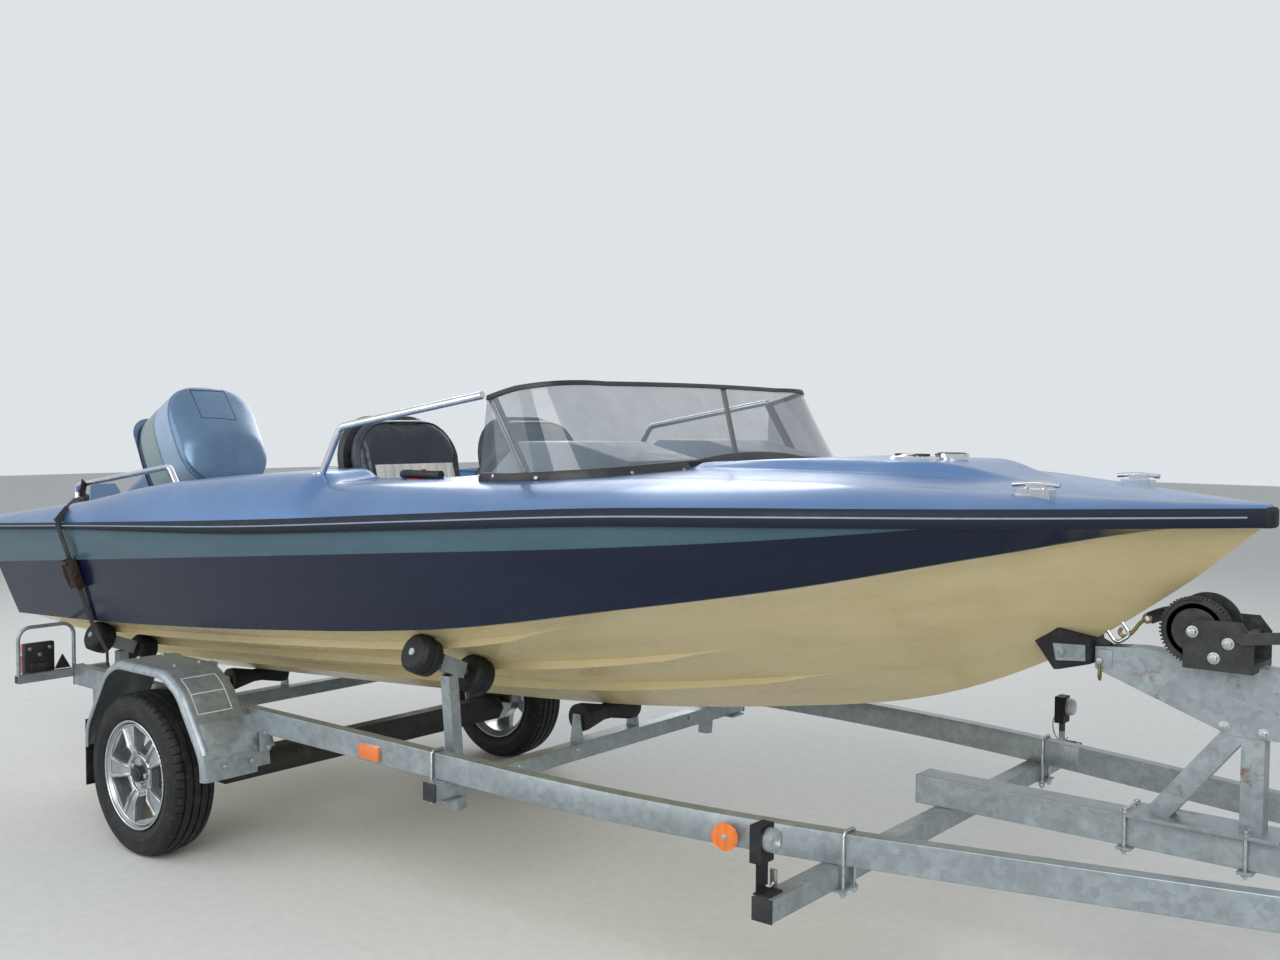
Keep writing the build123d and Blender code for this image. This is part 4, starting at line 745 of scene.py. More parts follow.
for index, rows in enumerate(STRAKES):
    strip = strake_strip(f"strake_left_{index + 1}", rows)
    other = twin(strip, f"strake_right_{index + 1}")
    for piece in (strip, other):
        finish(outward(piece), BOAT, HULL_PAINT, 30.0)
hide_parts("hull")

# %% [markdown]
# The deck moulding closes the hull from above. The cockpit opening has rounded corners and
# a rolled edge, which a bevel gives. The well for the tilted engine is cut out at the stern.

# %% Deck
COCKPIT_CORNER = 60.0
UNDER_DASH_Z = 1248.0


def cockpit_opening():
    corners = ((TUB_REAR_X, -TUB_HALF, 180), (DASH_X, -TUB_HALF, 270), (DASH_X, TUB_HALF, 0),
               (TUB_REAR_X, TUB_HALF, 90))
    outline = []
    for x, y, start in corners:
        cx = x + COCKPIT_CORNER * (1 if x < 0 else -1)
        cy = y + COCKPIT_CORNER * (1 if y < 0 else -1)
        for step in range(7):
            turn = radians(start + 15 * step)
            outline.append((cx + COCKPIT_CORNER * cos(turn), cy + COCKPIT_CORNER * sin(turn)))
    return plate("opening_cutter", plan_outline(900, outline), (0, 0, 0.6))


deck = lay_skin("deck_moulding", spaced(-1350, 780, 70) + spaced(795, 885, 15) + spaced(930, 1820, 60)
                + spaced(1845, 2820, 25) + spaced(2860, 3270, 40), deck_line)
under_dash = cockpit_space(TUB_WALL)
for vertex in under_dash.data.vertices:
    vertex.co.z = min(vertex.co.z, UNDER_DASH_Z * MM)
cut_away(deck, behind_transom(), engine_well(), cockpit_opening(), under_dash)
round_edges(deck, 7.0, 3, 50.0)
finish(deck, BOAT, DECK_PAINT, 40.0)
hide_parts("deck")
print("deck faces:", len(deck.data.polygons))

# %% [markdown]
# The rub rail is a dark extrusion pressed over the joint of hull and deck. It takes the
# knocks of a jetty, so it is rubber, a little dusty, and rounded outside. It is slimmer at the
# stern, and a pale cord laid along its groove is a painted highlight, the light line along the rail.

# %% Rub rail
RUB_DEPTH = 20.0
RUB_SLIM, RUB_GAIN = 24.0, 20.0


def rub_line(x):
    rail_y, rail_z = measure(x, RAIL_Y), measure(x, RAIL_Z)
    low, high = rail_z - RUB_SLIM - RUB_GAIN * ease(x, -700, 700), rail_z
    middle = (low + high) / 2
    points = [(max(0.0, rail_y - 4.0), low + 3.0), (rail_y + 8.0, low)]
    for step in range(9):
        turn = radians(-75 + 150 * step / 8)
        out = rail_y + 6.0 + (RUB_DEPTH - 6.0) * cos(turn)
        points.append((out, middle + (high - low) * 0.45 * sin(turn)))
    return points + [(rail_y + 8.0, high), (max(0.0, rail_y - 4.0), high - 3.0)]


rub_places = spaced(-1290, 2100, 60) + spaced(2140, 3250, 30) + [3262, 3268, 3270]
rub = open_skin("rub_strip_left", rub_places, [rub_line(x) for x in rub_places])
cut_away(rub, behind_transom())
other_rub = twin(rub, "rub_strip_right")
for piece in (rub, other_rub):
    finish(outward(piece), BOAT, NAVY_RUBBER, 40.0)
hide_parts("rub_rail")
# The pale cord along the rail is a painted highlight.
highlight_cord_line = []
for x in spaced(-1270, 3240, 60):
    low, high = rub_line(x)[1][1], rub_line(x)[-2][1]
    highlight_cord_line.append(at(x, measure(x, RAIL_Y) + RUB_DEPTH, low + (high - low) * 0.55))
highlight_cord = tube_along("rub_insert_left", highlight_cord_line, 2.2, resolution=2)
for piece in (highlight_cord, twin(highlight_cord, "rub_insert_right")):
    finish(piece, BOAT, RAIL_HIGHLIGHT_CORD, 40.0)

# %% [markdown]
# ## Metals, rubber and the rest
# The trailer is welded up and then dipped in molten zinc. The zinc cools in crystals the
# size of a thumbnail, and rain turns patches of it pale. Each other material is made the
# same way: one base, one pattern at the size that the real thing has, and some dirt.

# %% Metal materials


def galvanised(name="hot-dip galvanised steel", rust=0.0):
    """Zinc crystals in two greys, with pale bloom, grime and, if wanted, rust."""
    material, shader, where = new_material(name, "#98a0a4", 0.45, metallic=0.65)
    ragged = add_node(material, "ShaderNodeTexNoise", {"Vector": where, "Scale": 60.0, "Detail": 2.0})
    shifted = add_node(material, "ShaderNodeVectorMath", {0: ragged.outputs["Color"], "Scale": 0.012},
                       operation="SCALE")
    place = add_node(material, "ShaderNodeVectorMath", {0: where, 1: shifted.outputs[0]}, operation="ADD")
    cells = add_node(material, "ShaderNodeTexVoronoi", {"Vector": place.outputs[0], "Scale": 1.0 / (17 * MM)})
    tone = add_node(material, "ShaderNodeSeparateColor", {"Color": cells.outputs["Color"]}).outputs[0]
    colour = blend_colours(material, tone, paint("#8d969a"), paint("#9ca5a9"))
    bloom = spread(material, grain(material, where, 70.0, 5.0, 0.65), 0.52, 0.7, 0.0, 0.45)
    colour = blend_colours(material, bloom, colour, paint("#b9c1c3"))
    grime = spread(material, grain(material, where, 180.0, 6.0, 0.65), 0.5, 0.8, 0.0, 0.45)
    colour = blend_colours(material, grime, colour, paint("#6c6f6c"))
    if rust:
        stain = spread(material, grain(material, where, 55.0, 7.0, 0.7), 0.62 - 0.12 * rust, 0.72, 0.0, 0.9)
        colour = blend_colours(material, stain, colour, paint("#6e3f22"))
    feed(material, shader, base_color=colour, roughness=spread(material, tone, 0.0, 1.0, 0.38, 0.48),
         relief=(grain(material, where, 9.0, 3.0), 0.5, 0.25))
    return material


def worn_metal(name, base, worn, metallic, smooth, rough, size_mm=40.0):
    """A metal or paint with two tones and uneven gloss."""
    material, shader, where = new_material(name, base, rough, metallic=metallic)
    cloud = grain(material, where, size_mm, 5.0, 0.65)
    fine = grain(material, where, 2.5, 2.0)
    feed(material, shader, base_color=two_tone(material, cloud, 0.42, 0.75, base, worn),
         roughness=spread(material, cloud, 0.3, 0.75, smooth, rough),
         relief=(fine, 0.15, 0.35))
    return material


ZINC = galvanised()
ZINC_STAINED = galvanised("stained galvanised steel", 0.3)
BLACK_PAINT = worn_metal("black chassis paint", "#1b1d1e", "#3c3d3a", 0.0, 0.38, 0.7)
ALLOY = worn_metal("cast wheel alloy", "#b4b8bc", "#8b8e90", 0.85, 0.26, 0.45, 70.0)
# A lighter, glossier copy of the cast alloy: a painted highlight on the wheel's rings and ridges.
HIGHLIGHT_ALLOY = worn_metal("wheel alloy with painted highlight", "#d0d3d6", "#a9acae", 1.0, 0.14, 0.3, 90.0)
STAINLESS = worn_metal("polished stainless steel", "#d8dadc", "#b9bcbd", 1.0, 0.08, 0.22, 60.0)
BOLT_ZINC = worn_metal("zinc plated bolt steel", "#b9bdbf", "#8d8a80", 0.9, 0.25, 0.5, 12.0)
ENGINE_GREY = worn_metal("engine casting enamel", "#66829f", "#587390", 0.25, 0.2, 0.34, 160.0)
BARE_BLOCK = worn_metal("bare engine casting", "#707274", "#4b4c4d", 0.7, 0.4, 0.6)
PROPELLER_BLACK = worn_metal("black propeller enamel", "#1a1b1d", "#5a5c5e", 0.2, 0.25, 0.5, 60.0)
TYRE = rubber("weathered tyre rubber", "#151618", "#46443f")

# %% Plastics, lenses and cloth


def moulded(name, code, worn, rough=0.5, pebble_mm=1.2, depth_mm=0.12):
    """Moulded plastic with a fine pebbled skin."""
    material, shader, where = new_material(name, code, rough)
    pebbles = add_node(material, "ShaderNodeTexVoronoi", {"Vector": where, "Scale": 1.0 / (pebble_mm * MM)})
    dust = grain(material, where, 60.0, 5.0, 0.65)
    feed(material, shader, base_color=two_tone(material, dust, 0.45, 0.8, code, worn),
         roughness=spread(material, dust, 0.3, 0.8, rough - 0.1, rough + 0.12),
         relief=(pebbles.outputs["Distance"], depth_mm, 0.6))
    return material


def vinyl(name, code, worn):
    """Coated seat cloth: a soft pressed leather grain with creases."""
    material, shader, where = new_material(name, code, 0.42, coat_weight=0.15, coat_roughness=0.3)
    pores = add_node(material, "ShaderNodeTexVoronoi", {"Vector": where, "Scale": 1.0 / (2.2 * MM)},
                     feature="F2")
    drawn_out = add_node(material, "ShaderNodeMapping", {"Vector": where, "Scale": (1, 0.35, 1)})
    creases = grain(material, drawn_out.outputs[0], 28.0, 4.0, 0.6)
    dust = grain(material, where, 120.0, 5.0, 0.6)
    height = add_node(material, "ShaderNodeMath", {0: pores.outputs["Distance"], 1: creases}, operation="ADD")
    feed(material, shader, base_color=two_tone(material, dust, 0.45, 0.8, code, worn),
         roughness=spread(material, creases, 0.3, 0.8, 0.34, 0.55),
         relief=(height.outputs[0], 0.4, 0.35))
    return material


def lens(name, code, clear=0.0):
    """A moulded lamp lens: small prisms inside a glossy outer face."""
    material, shader, where = new_material(name, code, 0.16, coat_weight=1.0, coat_roughness=0.04,
                                           transmission_weight=clear, ior=1.49)
    evenly = {"Vector": where, "Scale": 1.0 / (5 * MM), "Randomness": 0.0}
    prisms = add_node(material, "ShaderNodeTexVoronoi", evenly, distance="CHEBYCHEV")
    tone = blend_colours(material, spread(material, prisms.outputs["Distance"], 0.1, 0.5), paint(code),
                         tuple(0.6 * part for part in paint(code)[:3]) + (1.0,))
    feed(material, shader, base_color=tone, relief=(prisms.outputs["Distance"], 1.2, 0.8))
    return material


def webbing():
    """Woven strap: flat cross rows with fine threads, and dust that greys the black."""
    material, shader, where = new_material("woven black webbing", "#17181b", 0.8)
    rows = add_node(material, "ShaderNodeTexWave",
                    {"Vector": where, "Scale": 1.0 / (14 * MM), "Distortion": 0.6})
    threads = grain(material, where, 0.9, 2.0)
    dust = grain(material, where, 70.0, 5.0)
    both_ways = add_node(material, "ShaderNodeMath", {0: rows.outputs["Fac"], 1: threads},
                         operation="MULTIPLY")
    feed(material, shader, base_color=two_tone(material, dust, 0.4, 0.8, "#17181b", "#34353a"),
         relief=(both_ways.outputs[0], 0.5, 0.8))
    return material


def acrylic():
    """Smoked acrylic sheet, a little crazed. Its alpha lets the light through."""
    material, shader, where = new_material("smoked acrylic sheet", "#59666d", 0.05, alpha=0.36,
                                           coat_weight=1.0, coat_roughness=0.02, ior=1.49)
    haze = grain(material, where, 140.0, 6.0, 0.7)
    feed(material, shader, roughness=spread(material, haze, 0.35, 0.8, 0.03, 0.2),
         alpha=spread(material, haze, 0.35, 0.8, 0.3, 0.42))
    return material


def gelcoat(name, code, fleck):
    """Sprayed interior gelcoat with flecks."""
    material, shader, where = new_material(name, code, 0.35, coat_weight=0.3, coat_roughness=0.15)
    spots = grain(material, where, 5.0, 2.0, 0.5)
    grime = grain(material, where, 200.0, 5.0, 0.65)
    colour = blend_colours(material, spread(material, spots, 0.6, 0.66, 0.0, 0.7), paint(code), paint(fleck))
    colour = blend_colours(material, spread(material, grime, 0.5, 0.8, 0.0, 0.4), colour, paint("#8a877c"))
    feed(material, shader, base_color=colour, roughness=spread(material, grime, 0.3, 0.8, 0.25, 0.5),
         relief=(spots, 0.3, 0.3))
    return material


BLACK_TRIM = moulded("black moulded trim", "#18191b", "#393a3b")
DASH_VINYL = moulded("pale grey dash moulding", "#8d99a6", "#a3acb4", 0.45, 2.0, 0.2)
RED_PLASTIC = moulded("red moulded plastic", "#a61712", "#7f1a15", 0.4)
WHITE_PLASTIC = moulded("white moulded plastic", "#d8d8d4", "#b5b4ad", 0.45)
NAVY_VINYL = vinyl("navy seat vinyl", "#0f1726", "#232d3d")
WHITE_VINYL = vinyl("white seat vinyl", "#cdcdc8", "#a9a79e")
AMBER_LENS = lens("amber lamp lens", "#ff7f0e")
RED_LENS = lens("red lamp lens", "#b3140d")
CLEAR_LENS = lens("clear lamp lens", "#dfe6ea", 0.75)
WEBBING = webbing()
ACRYLIC = acrylic()
LINER_GELCOAT = gelcoat("flecked liner gelcoat", "#b9bcb9", "#7d8488")

# %% [markdown]
# Where the solid model already has the right shape, its own mesh stays and only gets a
# material. A modifier softens the sharp edges a little, because no pressed, rolled or
# moulded edge is a knife edge, and the highlight on it is what the eye looks for.

# %% Dress the solids that stay


def dress(names, material, soften=0.0):
    for name in names.split():
        obj = nodes[name]
        for place in obj.material_slots:
            place.material = material
        if soften:
            weld = obj.modifiers.new("Weld", "WELD")
            weld.merge_threshold = 0.1 * MM
            edge = obj.modifiers.new("Soft edges", "BEVEL")
            edge.width = soften * MM
            edge.segments = 2
            edge.limit_method = "ANGLE"
            edge.angle_limit = radians(50)
            edge.use_clamp_overlap = True
            edge.harden_normals = True


dress("main_rails cross_members centre_beam", ZINC, 3.0)
dress("bilge_posts keel_roller_frames", ZINC, 1.0)
dress("winch_stand", ZINC_STAINED, 1.0)
dress("coupling_head jockey_clamp jockey_tube jockey_stem jockey_fork rear_lamp_frames", ZINC)
dress("axle", BLACK_PAINT, 2.0)
dress("coupling_handle winch_frame winch_crank", BLACK_PAINT, 1.0)
dress("bilge_rollers keel_rollers jockey_wheel", BLACK_RUBBER)
dress("bow_stop mud_flaps front_lamp_brackets", BLACK_RUBBER, 1.5)
dress("tie_down_straps", WEBBING)
dress("wheel_left_rim wheel_right_rim", ALLOY)
dress("engine_clamp engine_swivel engine_leg", ENGINE_GREY, 4.0)
dress("engine_powerhead", BARE_BLOCK, 3.0)
dress("windscreen_frame throttle_control", BLACK_TRIM, 1.0)
dress("dash_panel steering_wheel", BLACK_TRIM)
dress("windscreen", ACRYLIC)
dress("handrails bow_cleats deck_vents bow_eye", STAINLESS)
dress("cockpit_liner", LINER_GELCOAT)

# %% [markdown]
# Inside the cockpit the hull shows its own moulding above the liner. That is bare pale
# gelcoat and not the painted topside, so those faces take the liner's material.

# %% Inside of the hull
# In metres: half the width inside the hull, and the height where the bare wall starts
INSIDE_HALF, INSIDE_FROM_Z = 0.645, 0.8
aft, ahead = at(-320, 0, 0).x, at(1400, 0, 0).x
hull.data.materials.append(LINER_GELCOAT)
inner_faces = 0
for face in hull.data.polygons:
    centre = face.center
    inside = abs(centre.y) < INSIDE_HALF and centre.z > INSIDE_FROM_Z and aft < centre.x < ahead
    if inside and abs(face.normal.z) < 0.9:
        face.material_index = 1
        inner_faces += 1
print("faces inside the cockpit:", inner_faces)

# %% [markdown]
# ## Wheels
# A tyre is a turned shape, so its section is drawn once and spun round the axle. The round
# grooves are in the section. The sipes across the shoulders are not round, so they are made
# afterwards: every fourth row of corners sinks, and its neighbours close up beside it.

# %% Tyres
WHEEL_MIDDLE_Y = 839.5
WHEEL_MIDDLE_Z = 273.5
TREAD_STEPS = 240
SIPE_DEPTH = 4.5
# Where the shoulder blocks start, in metres: the radius, and the distance out from the middle
SHOULDER_RADIUS, SHOULDER_OUT = 0.258, 0.039
# Half of the tyre's section: distance out from its middle, and radius
TYRE_HALF_SECTION = (
    (57.5, 174.0), (60.0, 183.5), (66.0, 188.0), (73.0, 200.0), (77.6, 214.0), (78.4, 219.0),
    (77.4, 221.0), (77.9, 230.0), (76.6, 238.0), (75.4, 240.0), (75.8, 244.0), (73.0, 253.0),
    (68.0, 262.0), (62.0, 266.5), (52.0, 269.8), (46.0, 270.6), (45.0, 264.5), (40.0, 264.5),
    (39.0, 271.4), (28.0, 272.4), (18.0, 273.0), (17.0, 266.0), (11.0, 266.0), (10.0, 273.4),
)


def cut_sipes(tyre, centre):
    """Narrow slots across the shoulder blocks."""
    step = 2 * pi / TREAD_STEPS
    for vertex in tyre.data.vertices:
        offset = vertex.co - centre
        radius = sqrt(offset.x ** 2 + offset.z ** 2)
        if radius < SHOULDER_RADIUS or abs(offset.y) < SHOULDER_OUT:
            continue
        turn = atan2(offset.z, offset.x)
        row = round(turn / step) % 4
        radius -= SIPE_DEPTH * MM if row == 0 else 0.0
        turn += {1: -0.72, 3: 0.72}.get(row, 0.0) * step
        vertex.co = centre + Vector((radius * cos(turn), offset.y, radius * sin(turn)))


axle_end = at(0, WHEEL_MIDDLE_Y, WHEEL_MIDDLE_Z)
section = list(TYRE_HALF_SECTION) + [(-a, r) for a, r in reversed(TYRE_HALF_SECTION)]
tyre = spun("tyre_left", axle_end, (0, 1, 0), section, TREAD_STEPS)
cut_sipes(tyre, axle_end)
finish(tyre, "wheel_left", TYRE, 30.0)
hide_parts("wheel_left_tyre")
other_tyre = finish(twin(tyre, "tyre_right"), "wheel_right", TYRE, 30.0)
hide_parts("wheel_right_tyre")
print("tyre faces:", len(tyre.data.polygons))

# %% [markdown]
# The cast wheel's face comes from the solid model. What catches the light on it is added
# here: two raised rings at the lip, a ring round the hub, two ridges on each spoke, the
# nuts, the black cap and the valve. The rings and ridges take a lighter, glossier copy of the
# wheel alloy, which is a painted highlight.

# %% Wheel trim
RIM_FACE = ((50.0, 879.0), (100.0, 893.0), (168.0, 895.0))
SPOKE_TURNS = [36.0 + 72.0 * k for k in range(5)]
RIDGE_SPREAD = 11.0


def rim_face_y(radius):
    """How far out the cast face lies at a radius."""
    for (r0, y0), (r1, y1) in zip(RIM_FACE, RIM_FACE[1:]):
        if radius <= r1:
            return y0 + (y1 - y0) * max(0.0, radius - r0) / (r1 - r0)
    return RIM_FACE[-1][1]


def on_wheel(radius, turn, y):
    angle = radians(turn)
    return at(radius * cos(angle), y, WHEEL_MIDDLE_Z + radius * sin(angle))


def ring(name, centre, axis, radius_mm, thick_mm, steps=72):
    turn = Vector((0, 0, 1)).rotation_difference(Vector(axis)).to_euler()
    let_go()
    bpy.ops.mesh.primitive_torus_add(location=centre, rotation=turn, major_radius=radius_mm * MM,
                                     minor_radius=thick_mm * MM, major_segments=steps, minor_segments=10)
    return settled(name)


def spoke_ridge(turn):
    """A raised rib that widens from the hub to the lip."""
    places = ((64.0, 4.2), (84.0, 4.4), (100.0, 4.8), (130.0, 5.6), (163.0, 7.0))
    left, right = [], []
    for radius, half in places:
        aside = half / radius * 180 / pi
        left.append(on_wheel(radius, turn + aside, rim_face_y(radius) - 1.0))
        right.append(on_wheel(radius, turn - aside, rim_face_y(radius) - 1.0))
    rib = plate("spoke_ridge", left + right[::-1], (0, 7.5 * MM, 0))
    return round_edges(rib, 2.4, 3, 40.0)


def wheel_trim():
    # The rings and ridges get the lighter alloy, a painted highlight.
    highlight_parts = [ring("lip_ring", at(0, 906.5, WHEEL_MIDDLE_Z), (0, 1, 0), 179.6, 3.6),
              ring("inner_ring", at(0, 897.0, WHEEL_MIDDLE_Z), (0, 1, 0), 167.0, 3.4),
              ring("hub_ring", at(0, 884.5, WHEEL_MIDDLE_Z), (0, 1, 0), 61.0, 3.8)]
    highlight_parts += [spoke_ridge(turn + side * RIDGE_SPREAD) for turn in SPOKE_TURNS for side in (-1, 1)]
    return join("wheel_trim_left", *highlight_parts)


def wheel_nuts():
    nuts = []
    for k in range(5):
        place = on_wheel(40.0, 72.0 * k, 878.5)
        nuts.append(peg("nut_seat", place, place + Vector((0, 2.5 * MM, 0)), 11.5, 24, 0.8))
        nuts.append(peg("wheel_nut", place, place + Vector((0, 15 * MM, 0)), 9.5, 6, 1.2))
    return join("wheel_nuts_left", *nuts)


def wheel_cap():
    rim = peg("hub_cap", at(0, 878.5, WHEEL_MIDDLE_Z), at(0, 901.0, WHEEL_MIDDLE_Z), 27.0, 8, 3.0)
    boss = peg("cap_boss", at(0, 900.0, WHEEL_MIDDLE_Z), at(0, 904.0, WHEEL_MIDDLE_Z), 16.0, 24, 1.5)
    valve = peg("valve", on_wheel(158.0, 0.0, 872.0), on_wheel(154.0, 0.0, 908.0), 4.2, 12, 1.0)
    return join("wheel_cap_left", rim, boss, valve)


for make, material, slot in ((wheel_trim, HIGHLIGHT_ALLOY, "alloy"), (wheel_nuts, BOLT_ZINC, "zinc_steel"),
                             (wheel_cap, BLACK_TRIM, "black_trim")):
    piece = finish(make(), "wheel_left", material, 40.0)
    finish(twin(piece, piece.name.replace("left", "right")), "wheel_right", material, 40.0)
print("wheel trim made, ridges:", 2 * len(SPOKE_TURNS))

# %% [markdown]
# ## Mudguards
# A mudguard is one pressed sheet: a rounded channel that follows an arch over the wheel.
# So a section with rounded corners is carried along the arch, and Solidify gives it the
# thickness of the sheet. A rolled hem stiffens its edge.

# %% Mudguard sheet
GUARD_FRONT_CORNER = (310, 603)
GUARD_ARCH = ((-288, 330), (-288, 400), (-150, 615), (-70, 655), (215, 655), GUARD_FRONT_CORNER,
              (452, 400), (452, 330))
GUARD_CORNER = 158.0
GUARD_SHEET = 2.5
GUARD_LEGS_X, LEG_WIDTH = (-60.0, 160.0), 40.0
HEM_Y, HEM_DEPTH, HEM_RADIUS = 926.4, 25.0, 3.4


def rounded_arch(points, radius, steps=7):
    """The outline with an arc at each inner corner, as (x, z) points."""
    line = [Vector(points[0])]
    for before, corner, after in zip(points, points[1:], points[2:]):
        corner = Vector(corner)
        back, ahead = Vector(before) - corner, Vector(after) - corner
        half = back.angle(ahead) / 2
        reach = radius / tan(half)
        start, end = corner + back.normalized() * reach, corner + ahead.normalized() * reach
        centre = corner + (back.normalized() + ahead.normalized()).normalized() * (radius / sin(half))
        arm = start - centre
        whole_turn = arm.angle_signed(end - centre)
        for k in range(steps + 1):
            c, s = cos(whole_turn * k / steps), sin(whole_turn * k / steps)
            line.append(centre + Vector((arm.x * c + arm.y * s, -arm.x * s + arm.y * c)))
    line.append(Vector(points[-1]))
    return line


def with_normals(line):
    """Each point of the arch with the direction that points away from the wheel."""
    rows = []
    for k, point in enumerate(line):
        along = line[min(k + 1, len(line) - 1)] - line[max(k - 1, 0)]
        rows.append((point, Vector((-along.y, along.x)).normalized()))
    return rows


ARCH = with_normals(rounded_arch(GUARD_ARCH, GUARD_CORNER))


def guard_section():
    """Across the guard: distance out, and depth below the outer face."""
    points = [(733.5, 24.0)]
    points += [(742.0 - 8.5 * cos(radians(a)), 8.5 - 8.5 * sin(radians(a))) for a in (0, 30, 60, 90)]
    points += [(780.0, 0.0), (840.0, 0.0)]
    points += [(907.0 + 22.0 * sin(radians(a)), 22.0 - 22.0 * cos(radians(a))) for a in range(0, 91, 15)]
    return points + [(929.0, 25.0)]


def swept(name, rows, section):
    """A sheet whose section of (y, depth) is carried along the arch."""
    obj, corners = grid(name, len(rows) - 1, len(section) - 1)
    for vertex, u, v in corners:
        point, away = rows[round(u * (len(rows) - 1))]
        y, depth = section[round(v * (len(section) - 1))]
        vertex.co = at(point.x - away.x * depth, y, point.y - away.y * depth)
    return obj


guard = swept("mudguard_left", ARCH, guard_section())
in_edit(guard, bpy.ops.mesh.normals_make_consistent, inside=False)
use_modifier(guard, "SOLIDIFY", thickness=GUARD_SHEET * MM, offset=0.0)
hem_path = [at(p.x - n.x * HEM_DEPTH, HEM_Y, p.y - n.y * HEM_DEPTH) for p, n in ARCH]
hem = tube_along("guard_hem", hem_path, HEM_RADIUS, smooth=False)
guard = join("mudguard_left", outward(guard), hem)
for x in GUARD_LEGS_X:
    leg = slab("guard_leg", (x, x + LEG_WIDTH), (715, 721), (458, 652), 1.2)
    arm = slab("guard_arm", (x, x + LEG_WIDTH), (715, 890), (646, 652), 1.2)
    guard = join("mudguard_left", guard, leg, arm)
both_sides(guard, ZINC, 35.0)
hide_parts("mudguards")
print("mudguard faces:", len(guard.data.polygons))

# %% [markdown]
# A painted frame on the front of each guard is left empty. It follows the sheet, so its
# lines are thin ribbons laid along the same arch. The lower front plate bolts the guard to
# the chassis.

# %% Marks and plates on the mudguards
FRAME_FROM, FRAME_TO = -57.0, 88.0
FRAME_Y = (769.0, 892.0)
FRAME_LINE = 3.0
PLATE_FACE_X, GUARD_TOP_Z = 459.0, 656.5


def arch_at(distance):
    """A place on the arch, measured down from its front corner, with its normal."""
    k = min(range(len(ARCH)), key=lambda i: (ARCH[i][0] - Vector(GUARD_FRONT_CORNER)).length)
    step = 1 if distance > 0 else -1
    left = abs(distance)
    while 0 < k + step < len(ARCH) - 1 and left > (ARCH[k + step][0] - ARCH[k][0]).length:
        left -= (ARCH[k + step][0] - ARCH[k][0]).length
        k += step
    run = ARCH[k + step][0] - ARCH[k][0]
    nearer = k + step if left > run.length / 2 else k
    return ARCH[k][0] + run.normalized() * left, ARCH[nearer][1]


def ribbon(name, distances, low_y, high_y, lift=0.5, thick=0.6):
    rows = [arch_at(d) for d in distances]
    strip = swept(name, rows, [(low_y, -1.6 - lift), (high_y, -1.6 - lift)])
    return outward(use_modifier(strip, "SOLIDIFY", thickness=thick * MM, offset=0.0))


def marked_frame():
    whole = [FRAME_FROM + (FRAME_TO - FRAME_FROM) * k / 16 for k in range(17)]
    strips = [ribbon("frame_side", whole, y, y + FRAME_LINE) for y in FRAME_Y]
    for d in (FRAME_FROM, 14.0, FRAME_TO - FRAME_LINE):
        strips.append(ribbon("frame_bar", (d, d + FRAME_LINE), FRAME_Y[0], FRAME_Y[1] + FRAME_LINE))
    return join("guard_frame_left", *strips)


def front_plates():
    """The guard's front sheet reaches inboard to the rail and laps over a lower sheet."""
    upper = ribbon("guard_plate_left", [118.0 + 8.0 * k for k in range(16)], 668.0, 904.0, 1.6, 2.5)
    lower = ribbon("lower_sheet", [222.0 + 7.0 * k for k in range(11)], 690.0, 927.0, -0.6, 2.5)
    tab = slab("plate_tab", (452, 458), (690, 730), (392, 462), 1.2)
    return join("guard_plate_left", round_edges(upper, 0.8, 2, 40.0), round_edges(lower, 0.8, 2, 40.0), tab)


def bolt(place, direction, across=13.0, length=6.0, washer=True):
    """A hexagon bolt head on its washer, standing on a face."""
    direction = Vector(direction).normalized()
    head = peg("bolt_head", place, place + direction * (length + 1.5) * MM, across / 1.73, 6, 0.8)
    if not washer:
        return head
    under = peg("washer", place - direction * 0.5 * MM, place + direction * 1.8 * MM, across * 0.86, 20, 0.5)
    return join("bolt_head", head, under)


def side_bolts(y, places, across, length):
    """Bolts at (x, z) on the outside faces of both sides."""
    return [bolt(at(x, side * y, z), (0, side, 0), across, length) for side in (-1, 1) for x, z in places]


both_sides(marked_frame(), WHITE_PLASTIC, 30.0)
both_sides(front_plates(), ZINC, 30.0)
low_bolts = [bolt(at(PLATE_FACE_X, y, z), (1, 0, 0), 12.0)
             for y, z in ((710, 452), (700, 404), (860, 372), (760, 372))]
low_bolts += [bolt(at(x + LEG_WIDTH / 2, y, GUARD_TOP_Z), (0, 0, 1), 11.0, 4.0)
              for x in GUARD_LEGS_X for y in (770.0, 860.0)]
both_sides(join("guard_bolts_left", *low_bolts), BOLT_ZINC, 40.0)
print("mudguard fittings made")

# %% [markdown]
# ## Trailer fittings
# The cross members hang under the rails in U-bolts, so the frame can be set to another
# hull. Each U-bolt is a bent round bar: a line with four points, swept into a tube, with a
# plate and two nuts below.

# %% U-bolts
FRONT_CROSS_X, MIDDLE_CROSS_X = 2498.0, 1293.5
RAIL_TOP_Z, RAIL_LOW_Z = 523.0, 448.0
CROSS_HALF = 25.0
CHASSIS_Y = 695.0
RAIL_LEAN = 0.25


def u_bolt(x, y, half, low_z, top_z):
    """A bar bent over a rail, with both its ends threaded below a plate."""
    corner = 9.0
    points = [(x, y - half, low_z), (x, y - half, top_z - corner), (x, y - half + corner, top_z),
              (x, y + half - corner, top_z), (x, y + half, top_z - corner), (x, y + half, low_z)]
    hoop = tube_along("u_bolt", [at(*p) for p in points], 4.6, smooth=False)
    nuts = [peg("u_nut", at(x, y + s * half, low_z + 6), at(x, y + s * half, low_z + 15), 9.0, 6, 1.0)
            for s in (-1, 1)]
    return join("u_bolt", hoop, *nuts)


